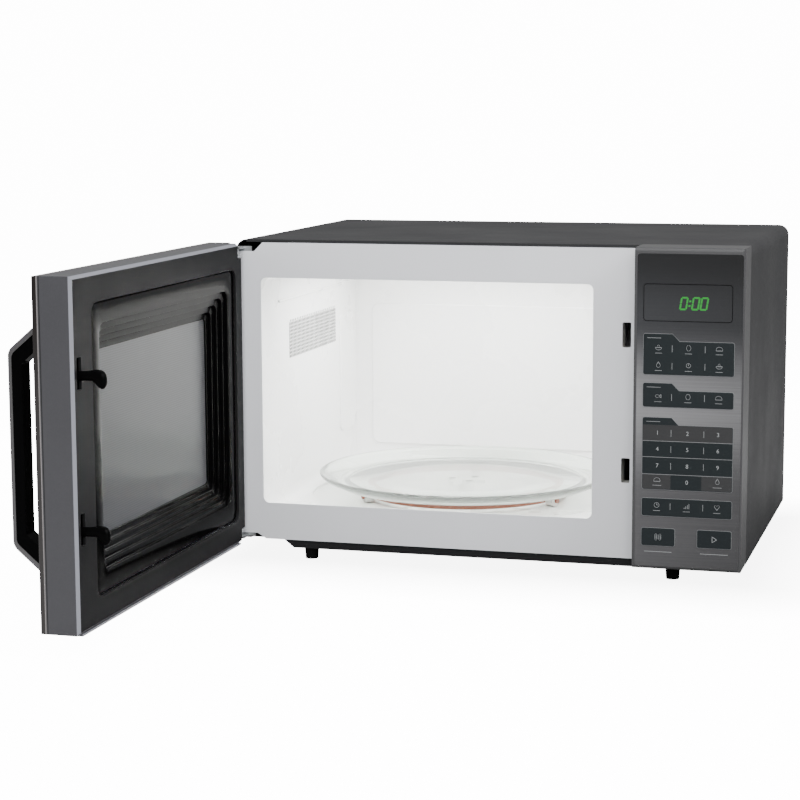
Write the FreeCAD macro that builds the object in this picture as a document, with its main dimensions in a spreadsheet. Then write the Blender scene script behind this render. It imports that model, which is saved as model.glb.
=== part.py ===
import FreeCAD, Part
import math
import os
from types import SimpleNamespace

import Sketcher

# A countertop microwave oven, in millimetres, +Z up and -Y towards the user.
# The origin is the centre of the front left foot's contact face.
# Depths are written for the closed door, and hang_open() swings the door's pieces to their open rest.

DIMENSIONS = {
    # casing
    "casing_width": 520, "casing_height": 308, "casing_depth": 345, "casing_raise": 21, "casing_setback": 3,
    "casing_radius": 11, "hem": 1.6, "hem_depth": 8, "sheet": 1, "casing_flange": 12, "panel_gap": 0.3,
    # feet, placed from the casing's sides, front and back
    "foot_inset": 73, "foot_front": 17, "foot_back": 30, "foot_top_radius": 7.5, "foot_toe_radius": 6.5,
    "foot_peg_radius": 2.9, "foot_hole_radius": 3,
    # base plate with its pressed pan
    "pan_drop": 9, "pan_left": 45, "pan_right": 13, "pan_front": 6, "pan_slope": 12, "pan_lip": 2,
    # front plate and the cavity's opening
    "plate_thickness": 1.2, "plate_side": 2, "plate_right": 3, "plate_top_gap": 3,
    "opening_left": 27, "opening_width": 341.5, "opening_bottom": 59,
    "opening_height": 231.5, "opening_radius": 6,
    "notch_width": 18, "notch_height": 9, "notch_slope": 9,
    "slot_left": 397.5, "slot_width": 8.5, "slot_height": 24.5, "upper_slot": 242, "lower_slot": 108.7,
    "bay_left": 431, "bay_right": 505, "bay_bottom": 42, "bay_top": 306,
    # cavity
    "cavity_lip": 3.5, "cavity_floor_drop": 12, "cavity_depth": 336.8, "cavity_radius": 12,
    "track_radius": 165, "track_drop": 2.5, "vent_pitch_y": 8, "vent_pitch_z": 5.4, "vent_hole": 1.9,
    "vent_front": 98, "vent_foot": 196,
    "lamp_hole": 11, "lamp_y": 250, "lamp_z": 240,
    # turntable
    "plate_radius": 157.5, "plate_flat_radius": 138, "plate_rim_height": 14, "glass": 5,
    "roller_radius": 6.75, "roller_width": 9, "roller_ring_radius": 104, "ring_width": 8, "ring_height": 5,
    "axle_radius": 2, "running_gap": 0.05, "end_play": 0.4,
    "coupler_radius": 9, "coupler_arm": 22, "coupler_arm_width": 6, "lug_radius": 4, "lug_place": 15,
    "spindle_radius": 3, "motor_radius": 24.5, "motor_height": 14, "motor_ear": 33,
    # door
    "door_left": 2, "door_right": 414, "door_bottom": 20, "door_top": 326, "door_front": 41.5,
    "door_back_gap": 5.3, "front_panel": 4.5, "surround": 3, "surround_chamfer": 3, "inner_skin": 2.5,
    "hinge_side": 5, "hinge_front": 10, "pin_radius": 2, "lug_sheet": 1.5, "pin_length": 9,
    "hinge_arm": 2, "hinge_drop": 6, "lug_gap": 1.5, "notch_reach": 9, "notch_depth": 13,
    "cover_left": 23, "cover_right": 372.5, "cover_bottom": 46, "cover_top": 299, "cover_radius": 9,
    "cover_groove": 1.5, "cover_sink": 2, "cover_flat": 18.5, "step_run": 6.4, "tread": 1.5, "riser": 2,
    "pane_depth": 17.3, "pane": 1.4, "pane_bite": 7, "choke_gap": 0.3,
    "window_left": 62, "window_right": 348, "window_bottom": 70, "window_top": 274, "window_glass": 3,
    # handle, a strap with slanting legs that are thicker than its bar
    "handle_left": 391, "handle_width": 18, "handle_reach": 25.5,
    "handle_foot": 72.5, "handle_height": 211.3,
    "handle_skin": 3.2, "handle_core": 8.8, "handle_bend": 11, "handle_slope": 0.85, "handle_leg": 1.35,
    # door latch
    "lever_left": 398.9, "lever_width": 5.6, "lever_back": 20, "lever_front": 14, "hook_reach": 20,
    "hook_head": 8, "hook_arm": 9, "hook_droop": 5.5,
    "spring_radius": 3, "spring_wire": 0.6, "spring_length": 18, "spring_pitch": 3.6,
    # control panel
    "housing_left": 416, "housing_wall": 2.5, "housing_bottom": 21.5,
    "housing_top": 330, "housing_radius": 3,
    "fascia_inset_left": 2.6, "fascia_inset_right": 1.6, "fascia_inset_top": 5.5, "fascia_inset_bottom": 3,
    "fascia": 1.5, "fascia_radius": 2.5, "lens_left": 424.7, "lens_width": 84.2, "lens_bottom": 260.6,
    "lens_height": 35.6, "lens_radius": 3, "key_left": 424.9, "key_right": 511.4, "key_raise": 0.5,
    "board": 1.6, "board_back": 22,
    # door switch board behind the front plate
    "switch_board_left": 378, "switch_board_width": 44, "switch_board_depth": 24,
    "switch_width": 9, "switch_height": 26,
    # microwave generator
    "guide_depth": 25, "guide_front": 85, "guide_length": 120, "guide_bottom": 195, "guide_height": 60,
    "port_front": 93, "port_length": 52, "port_bottom": 203, "port_height": 44, "mica": 0.5,
    "yoke_width": 57, "yoke_front": 136, "yoke_length": 84, "yoke_height": 96, "yoke_sheet": 1.5,
    "anode_radius": 19, "antenna_radius": 8, "antenna_length": 17, "fin": 0.8, "fin_pitch": 7,
    "magnet_radius": 27, "magnet": 11,
    # high voltage supply
    "core_left": 401, "core_width": 92, "core_front": 222, "core_depth": 56, "core_height": 84,
    "coil_overhang": 14, "coil_gap": 0.4, "can_left": 398,
    "can_width": 52, "can_depth": 34, "can_front": 118,
    "can_height": 92, "strap": 1, "diode_radius": 3.2, "diode_length": 15,
    # cooling fan
    "fan_across": 452, "fan_height": 165, "fan_radius": 48,
    "fan_gap": 3, "fan_frame": 54, "fan_frame_depth": 26,
    "fan_hub": 11, "fan_blade": 1.4, "fan_blade_chord": 16, "fan_motor": 32, "fan_motor_depth": 22,
    "fan_shaft": 1.6, "fan_bar": 3,
    # back panel
    "inlet_left": 478, "inlet_height": 70, "inlet_radius": 8, "cord_radius": 3.6,
    "slot_pitch": 8, "slot_long": 60, "slot_wide": 3.6,
    # fasteners
    "screw_radius": 1.9, "screw_hole": 2, "head_radius": 3.8, "head_height": 2.4,
}
VENT_COLUMNS = 20
VENT_ROWS = 8
MAGNETRON_FINS = 4
FAN_BLADES = 5
# where the roller ring stands at rest, in degrees about its spindle
RING_REST = -22

document = FreeCAD.newDocument("microwave_oven")
sheet = document.addObject("Spreadsheet::Sheet", "Dims")
for row, (word, number) in enumerate(DIMENSIONS.items(), start=1):
    sheet.set(f"A{row}", word)
    sheet.set(f"B{row}", str(number))
    sheet.setAlias(f"B{row}", word)
document.recompute()


class Size:
    """A length that knows its number and the sheet formula it comes from."""

    def __init__(self, number, formula=None):
        self.number = float(number)
        self.formula = formula or f"({self.number:.6f})"

    def combine(self, sign, other, number):
        return Size(number, f"({self.formula} {sign} {other.formula})")

    def __float__(self):
        return self.number

    def __add__(self, other):
        other = as_size(other)
        return self.combine("+", other, self.number + other.number)

    def __sub__(self, other):
        other = as_size(other)
        return self.combine("-", other, self.number - other.number)

    def __mul__(self, other):
        other = as_size(other)
        return self.combine("*", other, self.number * other.number)

    def __truediv__(self, other):
        other = as_size(other)
        return self.combine("/", other, self.number / other.number)

    def __neg__(self):
        return as_size(0) - self

    def __radd__(self, other):
        return as_size(other) + self

    def __rsub__(self, other):
        return as_size(other) - self

    def __rmul__(self, other):
        return as_size(other) * self


def as_size(value):
    return value if isinstance(value, Size) else Size(value)


d = SimpleNamespace(**{word: Size(number, f"Dims.{word}") for word, number in DIMENSIONS.items()})
NODES = {}
UP = FreeCAD.Vector(0, 0, 1)


def bind(item, path, size):
    item.setExpression(path, as_size(size).formula)


def keep(name, item):
    """Register an object as a finished sub-part under its own name."""
    item.Label = name
    NODES[name] = item
    return item


def place(item, at, turn=None):
    if turn is not None:
        item.Placement = FreeCAD.Placement(FreeCAD.Vector(), turn)
    for letter, size in zip("xyz", at):
        bind(item, f"Placement.Base.{letter}", size)


# ---- Part primitives between named places ----


def block(low, high, label="block"):
    item = document.addObject("Part::Box", label)
    for path, start, end in zip(("Length", "Width", "Height"), low, high):
        bind(item, path, as_size(end) - start)
    place(item, low)
    return item


TURN_TO = {
    "x": FreeCAD.Rotation(FreeCAD.Vector(0, 1, 0), 90),
    "y": FreeCAD.Rotation(FreeCAD.Vector(1, 0, 0), -90),
    "z": FreeCAD.Rotation(),
}


def along(axis, centre, start):
    first, second = centre
    return {"x": (start, first, second), "y": (first, start, second), "z": (first, second, start)}[axis]


def rod(axis, centre, radius, start, end, label="rod"):
    item = document.addObject("Part::Cylinder", label)
    bind(item, "Radius", radius)
    bind(item, "Height", as_size(end) - start)
    place(item, along(axis, centre, start), TURN_TO[axis])
    return item


def taper(centre, low_radius, high_radius, start, end, label="taper"):
    item = document.addObject("Part::Cone", label)
    bind(item, "Radius1", low_radius)
    bind(item, "Radius2", high_radius)
    bind(item, "Height", as_size(end) - start)
    place(item, along("z", centre, start))
    return item


def union(*items, label="union"):
    if len(items) == 1:
        return items[0]
    item = document.addObject("Part::MultiFuse", label)
    item.Shapes = list(items)
    return item


def difference(base, *tools, label="difference"):
    item = document.addObject("Part::Cut", label)
    item.Base = base
    item.Tool = union(*tools)
    return item


def group(items, label="group"):
    item = document.addObject("Part::Compound", label)
    item.Links = list(items)
    return item


# ---- sketches and PartDesign bodies ----


def point_constraints(sketch, geometry, point, x, y):
    for kind, size in (("DistanceX", x), ("DistanceY", y)):
        size = as_size(size)
        index = sketch.addConstraint(Sketcher.Constraint(kind, -1, 1, geometry, point, size.number))
        bind(sketch, f"Constraints[{index}]", size)


def polygon(*corners):
    """A closed outline of straight edges, every corner held by two formulas."""

    def draw(sketch):
        spots = [FreeCAD.Vector(float(x), float(y), 0) for x, y in corners]
        first = sketch.GeometryCount
        count = len(spots)
        for index, spot in enumerate(spots):
            sketch.addGeometry(Part.LineSegment(spot, spots[(index + 1) % count]), False)
        for index in range(count):
            following = first + (index + 1) % count
            sketch.addConstraint(Sketcher.Constraint("Coincident", first + index, 2, following, 1))
            point_constraints(sketch, first + index, 1, *corners[index])

    return draw


def rectangle(x0, y0, x1, y1, radius=None):
    """An upright rectangle, with its corners rounded if a radius is given."""
    if radius is None:
        return polygon((x0, y0), (x1, y0), (x1, y1), (x0, y1))

    def draw(sketch):
        left, low, right, high, r = (float(v) for v in (x0, y0, x1, y1, radius))
        centres = [
            (right - r, low + r, -90), (right - r, high - r, 0),
            (left + r, high - r, 90), (left + r, low + r, 180),
        ]
        lines = [
            ((left + r, low), (right - r, low)),
            ((right, low + r), (right, high - r)),
            ((right - r, high), (left + r, high)),
            ((left, high - r), (left, low + r)),
        ]
        first = sketch.GeometryCount
        for (ax, ay), (bx, by) in lines:
            sketch.addGeometry(
                Part.LineSegment(FreeCAD.Vector(ax, ay, 0), FreeCAD.Vector(bx, by, 0)), False,
            )
        for cx, cy, start in centres:
            circle_line = Part.Circle(FreeCAD.Vector(cx, cy, 0), UP, r)
            arc = Part.ArcOfCircle(circle_line, math.radians(start), math.radians(start + 90))
            sketch.addGeometry(arc, False)
        for side in range(4):
            line, arc, following = first + side, first + 4 + side, first + (side + 1) % 4
            sketch.addConstraint(Sketcher.Constraint("Tangent", line, 2, arc, 1))
            sketch.addConstraint(Sketcher.Constraint("Tangent", arc, 2, following, 1))
            sketch.addConstraint(Sketcher.Constraint("Horizontal" if side % 2 == 0 else "Vertical", line))
            index = sketch.addConstraint(Sketcher.Constraint("Radius", arc, r))
            bind(sketch, f"Constraints[{index}]", radius)
        for side, kind, size in (
            (0, "DistanceY", y0), (1, "DistanceX", x1), (2, "DistanceY", y1), (3, "DistanceX", x0),
        ):
            size = as_size(size)
            index = sketch.addConstraint(Sketcher.Constraint(kind, -1, 1, first + side, 1, size.number))
            bind(sketch, f"Constraints[{index}]", size)

    return draw


def circle(x, y, radius):
    def draw(sketch):
        size = as_size(radius)
        centre = FreeCAD.Vector(float(x), float(y), 0)
        geometry = sketch.addGeometry(Part.Circle(centre, UP, size.number), False)
        point_constraints(sketch, geometry, 3, x, y)
        index = sketch.addConstraint(Sketcher.Constraint("Radius", geometry, size.number))
        bind(sketch, f"Constraints[{index}]", size)

    return draw


class Solid:
    """A PartDesign body. XY sketches read (x, y), XZ sketches (x, z) and YZ sketches (y, z)."""

    def __init__(self, name):
        self.body = document.addObject("PartDesign::Body", name)
        self.cuts = []

    def sketch(self, plane, offset, outlines):
        sketch = self.body.newObject("Sketcher::SketchObject", "outline")
        origin = next(f for f in self.body.Origin.OriginFeatures if f.Role == f"{plane}_Plane")
        sketch.AttachmentSupport = [(origin, "")]
        sketch.MapMode = "FlatFace"
        bind(sketch, "AttachmentOffset.Base.z", offset)
        for outline in outlines:
            outline(sketch)
        return sketch

    def pad(self, plane, low, high, *outlines):
        """Add material between two heights over the sketch plane. The XZ plane faces -Y."""
        offset = -as_size(high) if plane == "XZ" else low
        feature = self.body.newObject("PartDesign::Pad", "pad")
        feature.Profile = self.sketch(plane, offset, outlines)
        bind(feature, "Length", as_size(high) - low)
        self.body.Tip = feature
        return self

    def pocket(self, plane, low, high, *outlines):
        offset = -as_size(low) if plane == "XZ" else high
        feature = self.body.newObject("PartDesign::Pocket", "pocket")
        feature.Profile = self.sketch(plane, offset, outlines)
        bind(feature, "Length", as_size(high) - low)
        self.body.Tip = feature
        self.cuts.append(feature)
        return self

    def turn(self, *outlines):
        """Revolve (radius, height) outlines about the body's own Z axis."""
        sketch = self.sketch("XZ", 0, outlines)
        feature = self.body.newObject("PartDesign::Revolution", "turned")
        feature.Profile = sketch
        feature.ReferenceAxis = (sketch, ["V_Axis"])
        feature.Angle = 360
        self.body.Tip = feature
        return self

    def repeat_round(self, features, count):
        pattern = self.body.newObject("PartDesign::PolarPattern", "round_pattern")
        pattern.Originals = features
        axis = next(f for f in self.body.Origin.OriginFeatures if f.Role == "Z_Axis")
        pattern.Axis = (axis, [""])
        pattern.Angle = 360
        pattern.Occurrences = count
        self.body.Tip = pattern
        return self

    def repeat_along(self, feature, role, pitch, count):
        """Repeat a cut in a straight row along one of the body's own axes."""
        pattern = self.body.newObject("PartDesign::LinearPattern", "row")
        pattern.Originals = [feature]
        axis = next(f for f in self.body.Origin.OriginFeatures if f.Role == role)
        pattern.Direction = (axis, [""])
        bind(pattern, "Length", pitch * (count - 1))
        pattern.Occurrences = count
        self.body.Tip = pattern
        return self

    def soften(self, radius, wanted, kind="Fillet"):
        """Round or bevel the edges whose middle point and direction are wanted."""
        document.recompute()
        base = self.body.Tip
        names = []
        for index, edge in enumerate(base.Shape.Edges, start=1):
            if edge.Degenerated:
                continue
            if wanted(edge.CenterOfMass, edge.tangentAt(edge.FirstParameter)):
                names.append(f"Edge{index}")
        feature = self.body.newObject(f"PartDesign::{kind}", "softened")
        feature.Base = (base, names)
        bind(feature, "Radius" if kind == "Fillet" else "Size", radius)
        self.body.Tip = feature
        return self

    def done(self):
        return self.body


def near(value, size, slack=0.05):
    return abs(value - float(size)) < slack


# ---- places that several sub-parts share ----

left = -d.foot_inset
right = left + d.casing_width
plate_face = -d.foot_front
plate_back = plate_face + d.plate_thickness
casing_front = plate_face + d.casing_setback
casing_back = casing_front + d.casing_depth
casing_low = d.casing_raise
casing_top = casing_low + d.casing_height
inner_left = left + d.sheet
inner_right = right - d.sheet
inner_top = casing_top - d.sheet
back_panel_face = casing_back - 2 * d.sheet
base_top = casing_low + 2 * d.sheet
pan_floor = casing_low - d.pan_drop + d.sheet

opening_x0 = left + d.opening_left
opening_x1 = opening_x0 + d.opening_width
opening_z0 = d.opening_bottom
opening_z1 = opening_z0 + d.opening_height
cavity_x0 = opening_x0 - d.cavity_lip
cavity_x1 = opening_x1 + d.cavity_lip
cavity_z0 = opening_z0 - d.cavity_floor_drop
cavity_z1 = opening_z1 + d.cavity_lip
cavity_y1 = plate_back + d.cavity_depth
cavity_wall = cavity_x1 + d.sheet
track_floor = cavity_z0 - d.track_drop
spindle_x = (cavity_x0 + cavity_x1) / 2
spindle_y = (plate_back + cavity_y1) / 2
plate_under = track_floor + 2 * d.roller_radius
roller_centre = track_floor + d.roller_radius

door_face = plate_face - d.door_front
door_back = plate_face - d.door_back_gap
door_x0 = left + d.door_left
door_x1 = left + d.door_right
panel_back = door_face + d.front_panel
hinge_x = left + d.hinge_side
hinge_y = plate_face - d.hinge_front
pane_face = door_back - d.pane_depth
choke_face = pane_face - d.pane
choke_back = choke_face - d.sheet

upper_arm = d.door_top - d.hinge_drop
lower_arm = casing_low + 2 * d.sheet
upper_slot_z = d.upper_slot
lower_slot_z = d.lower_slot

OPEN = FreeCAD.Rotation(UP, -90)


def hang_open(item):
    """Swing a piece of the closed door to its rest place, a quarter turn open about the hinge pins."""
    item.Placement = FreeCAD.Placement(FreeCAD.Vector(), OPEN)
    bind(item, "Placement.Base.x", hinge_x - hinge_y)
    bind(item, "Placement.Base.y", hinge_y + hinge_x)
    return item


def screw(axis, centre, head_from, way, length):
    """A pan head screw whose head stands on head_from and whose shank goes the other way."""
    if way > 0:
        head = rod(axis, centre, d.head_radius, head_from, head_from + d.head_height)
        shank = rod(axis, centre, d.screw_radius, head_from - length, head_from + 0.5)
    else:
        head = rod(axis, centre, d.head_radius, head_from - d.head_height, head_from)
        shank = rod(axis, centre, d.screw_radius, head_from - 0.5, head_from + length)
    return union(head, shank, label="screw")


# ---- casing ----

casing_screw_places = [
    (left + d.casing_flange / 2, casing_low + d.casing_height / 2),
    (right - d.casing_flange / 2, casing_low + d.casing_height / 2),
    (left + d.casing_width / 4, casing_top - d.casing_flange / 2),
    (left + d.casing_width / 2, casing_top - d.casing_flange / 2),
    (right - d.casing_width / 4, casing_top - d.casing_flange / 2),
]


def make_outer_wrap():
    solid = Solid("outer_wrap")
    foot = casing_low + d.sheet
    solid.pad(
        "XZ", casing_front, casing_back,
        polygon(
            (left, casing_low), (left, casing_top), (right, casing_top), (right, casing_low),
            (right - d.casing_flange, casing_low), (right - d.casing_flange, foot), (inner_right, foot),
            (inner_right, inner_top), (inner_left, inner_top), (inner_left, foot),
            (left + d.casing_flange, foot), (left + d.casing_flange, casing_low),
        ),
    )
    solid.soften(
        d.casing_radius,
        lambda spot, way: (
            near(spot.z, casing_top) and abs(way.y) > 0.9 and not near(spot.x, (left + right) / 2, 5)
        ),
    )
    solid.soften(
        d.casing_radius - d.sheet,
        lambda spot, way: near(spot.z, inner_top) and abs(way.y) > 0.9
        and (near(spot.x, inner_left) or near(spot.x, inner_right)),
    )
    solid.pad(
        "XZ", casing_back - d.sheet, casing_back,
        polygon(
            (inner_left - 0.5, casing_low + d.sheet), (inner_left - 0.5, casing_top - d.casing_radius),
            (left + d.casing_radius, inner_top + 0.5), (right - d.casing_radius, inner_top + 0.5),
            (inner_right + 0.5, casing_top - d.casing_radius), (inner_right + 0.5, casing_low + d.sheet),
            (right - d.casing_flange, casing_low + d.sheet),
            (right - d.casing_flange, casing_top - d.casing_flange),
            (left + d.casing_flange, casing_top - d.casing_flange),
            (left + d.casing_flange, casing_low + d.sheet),
        ),
    )
    holes = [circle(x, z, d.screw_hole) for x, z in casing_screw_places]
    solid.pocket("XZ", casing_back - d.sheet - 0.5, casing_back, *holes)
    solid.pad("XZ", casing_front, casing_front + d.hem_depth, rectangle(
        left + d.casing_radius, inner_top - d.hem, right - d.casing_radius, inner_top + 0.5,
    ))
    keep("outer_wrap", solid.done())


def make_casing_screws():
    screws = [screw("y", spot, casing_back, 1, 4 * d.sheet) for spot in casing_screw_places]
    keep("casing_screws", group(screws))


def make_back_panel():
    solid = Solid("back_panel")
    low = base_top + d.panel_gap
    solid.pad(
        "XZ", back_panel_face, back_panel_face + d.sheet,
        rectangle(
            inner_left + d.panel_gap, low, inner_right - d.panel_gap,
            inner_top - d.panel_gap, d.casing_radius,
        ),
    )
    holes = [circle(x, z, d.screw_hole) for x, z in casing_screw_places]
    inlet = (left + d.inlet_left, d.inlet_height)
    solid.pocket("XZ", back_panel_face, back_panel_face + d.sheet, *holes, circle(*inlet, d.inlet_radius))
    first = left + d.fan_across - d.slot_pitch * 5
    solid.pocket(
        "XZ", back_panel_face, back_panel_face + d.sheet,
        rectangle(
            first - d.slot_wide / 2, d.fan_height - d.slot_long / 2,
            first + d.slot_wide / 2, d.fan_height + d.slot_long / 2, d.slot_wide / 2 - 0.05,
        ),
    )
    solid.repeat_along(solid.cuts[-1], "X_Axis", d.slot_pitch, 11)
    keep("back_panel", solid.done())


def make_base_plate():
    pan_x0 = left + d.pan_left
    pan_x1 = right - d.pan_right
    pan_y0 = plate_face + d.pan_front - d.pan_lip
    pan_y1 = back_panel_face - d.pan_lip
    low = casing_low - d.pan_drop

    def pressed(offset, floor, rim):
        item = document.addObject("Part::Wedge", "pan")
        item.Placement = FreeCAD.Placement(FreeCAD.Vector(), FreeCAD.Rotation(FreeCAD.Vector(1, 0, 0), 90))
        bind(item, "Xmin", pan_x0 + d.pan_slope + offset)
        bind(item, "Xmax", pan_x1 - d.pan_slope - offset)
        bind(item, "X2min", pan_x0 + offset)
        bind(item, "X2max", pan_x1 - offset)
        bind(item, "Ymin", floor)
        bind(item, "Ymax", rim)
        bind(item, "Zmin", -(pan_y1 - d.pan_lip - offset))
        bind(item, "Zmax", -(pan_y0 + d.pan_lip + offset))
        bind(item, "Z2min", -(pan_y1 - offset))
        bind(item, "Z2max", -(pan_y0 + offset))
        return item

    slab = block(
        (inner_left + d.panel_gap, casing_front, casing_low + d.sheet),
        (inner_right - d.panel_gap, back_panel_face + d.sheet, base_top),
    )
    body = union(slab, pressed(0, low, base_top - d.sheet / 2), label="base_blank")
    cutters = [pressed(d.sheet, pan_floor, base_top + 0.01)]
    for x, y in foot_places():
        cutters.append(rod("z", (x, y), d.foot_hole_radius, low - 1, pan_floor + 1))
    for index in range(10):
        x = pan_x1 - d.pan_slope - 12 - index * d.slot_pitch
        y = plate_face + d.casing_depth / 4
        slot = ((x, y, low - 1), (x + d.slot_wide, y + d.slot_long * 0.6, pan_floor + 1))
        cutters.append(block(*slot))
    keep("base_plate", difference(body, *cutters))


def foot_places():
    back = casing_back - d.foot_back
    front = plate_face + d.foot_front
    return [(x, y) for x in (left + d.foot_inset, right - d.foot_inset) for y in (front, back)]


def make_feet():
    low = casing_low - d.pan_drop
    feet = []
    for x, y in foot_places():
        foot = taper((x, y), d.foot_toe_radius, d.foot_top_radius, 0, low)
        peg = rod("z", (x, y), d.foot_peg_radius, low - 1, low + 3 * d.sheet)
        feet.append(union(foot, peg))
    keep("feet", group(feet))


def make_cord_inlet():
    """The strain relief bush that the mains cord passes through."""
    centre = (left + d.inlet_left, d.inlet_height)
    inside = back_panel_face - 6
    outside = back_panel_face + d.sheet
    barrel = rod("y", centre, d.inlet_radius - 0.1, inside, outside + 3)
    collar = rod("y", centre, d.inlet_radius + 3, outside, outside + 3)
    bore = rod("y", centre, d.cord_radius, inside - 1, outside + 4)
    keep("cord_inlet", difference(union(barrel, collar), bore))


# ---- front plate and cavity ----


def make_front_plate():
    x0 = left + d.plate_side
    x1 = right - d.plate_right
    low = casing_low + d.panel_gap
    top = casing_top - d.plate_top_gap
    upper_notch = top - d.notch_height
    lower_notch = low + d.notch_height / 2 + d.hinge_arm - 1
    solid = Solid("front_plate")
    solid.pad(
        "XZ", plate_face, plate_back,
        polygon(
            (x0 + d.notch_width + d.notch_slope, low), (x1, low), (x1, top),
            (x0 + d.notch_width + d.notch_slope, top), (x0 + d.notch_width, upper_notch), (x0, upper_notch),
            (x0, lower_notch), (x0 + d.notch_width, lower_notch),
        ),
        rectangle(opening_x0, opening_z0, opening_x1, opening_z1, d.opening_radius),
        rectangle(left + d.bay_left, d.bay_bottom, left + d.bay_right, d.bay_top, d.opening_radius),
    )
    slots = []
    for middle in (upper_slot_z, lower_slot_z):
        slot_x = left + d.slot_left
        slots.append(rectangle(
            slot_x, middle - d.slot_height / 2, slot_x + d.slot_width,
            middle + d.slot_height / 2, d.slot_width / 6,
        ))
    solid.pocket("XZ", plate_face, plate_back, *slots)
    flange = d.sheet + 9
    reach = d.casing_radius
    solid.pad(
        "XZ", plate_back, plate_face + flange, rectangle(x0 + 5 * reach, top - d.sheet, x1 - reach, top),
    )
    keep("front_plate", solid.done())


def make_cavity():
    solid = Solid("cavity_box")
    skin = d.sheet
    solid.pad(
        "XZ", plate_back, cavity_y1 + skin,
        rectangle(
            cavity_x0 - skin, cavity_z0 - skin, cavity_x1 + skin, cavity_z1 + skin, d.cavity_radius + skin,
        ),
    )
    solid.pocket(
        "XZ", plate_back, cavity_y1, rectangle(cavity_x0, cavity_z0, cavity_x1, cavity_z1, d.cavity_radius),
    )
    solid.pad(
        "XY", track_floor - skin, cavity_z0 - skin / 2, circle(spindle_x, spindle_y, d.track_radius + skin),
    )
    solid.pocket("XY", track_floor, cavity_z0 + skin, circle(spindle_x, spindle_y, d.track_radius))
    solid.pocket(
        "XY", track_floor - skin - 1, track_floor, circle(spindle_x, spindle_y, 2 * d.spindle_radius),
    )
    for ear in (-1, 1):
        spot = (spindle_x + ear * (d.motor_ear - 4), spindle_y)
        solid.pocket("XY", track_floor - skin - 1, track_floor, circle(*spot, d.screw_hole))
    solid.pocket(
        "YZ", cavity_x1, cavity_wall,
        rectangle(
            plate_face + d.port_front, d.port_bottom,
            plate_face + d.port_front + d.port_length, d.port_bottom + d.port_height,
        ),
        circle(plate_face + d.lamp_y, d.lamp_z, d.lamp_hole),
    )
    first = (plate_face + d.vent_front + d.vent_pitch_y / 2, d.vent_foot + d.vent_hole)
    column = [circle(first[0], first[1] + d.vent_pitch_z * row, d.vent_hole) for row in range(VENT_ROWS)]
    solid.pocket("YZ", cavity_x0 - skin, cavity_x0, *column)
    solid.repeat_along(solid.cuts[-1], "Y_Axis", d.vent_pitch_y, VENT_COLUMNS)
    keep("cavity_box", solid.done())


def make_waveguide_cover():
    reach = 4
    y0 = plate_face + d.port_front - reach
    z0 = d.port_bottom - reach
    solid = Solid("waveguide_cover")
    solid.pad(
        "YZ", cavity_x1 - d.mica, cavity_x1,
        rectangle(y0, z0, y0 + d.port_length + 2 * reach, z0 + d.port_height + 2 * reach, 3),
    )
    keep("waveguide_cover", solid.done())


# ---- turntable ----


def centre_on_spindle(item, degrees=0):
    place(item, (spindle_x, spindle_y, 0), FreeCAD.Rotation(UP, degrees))
    return item


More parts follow.
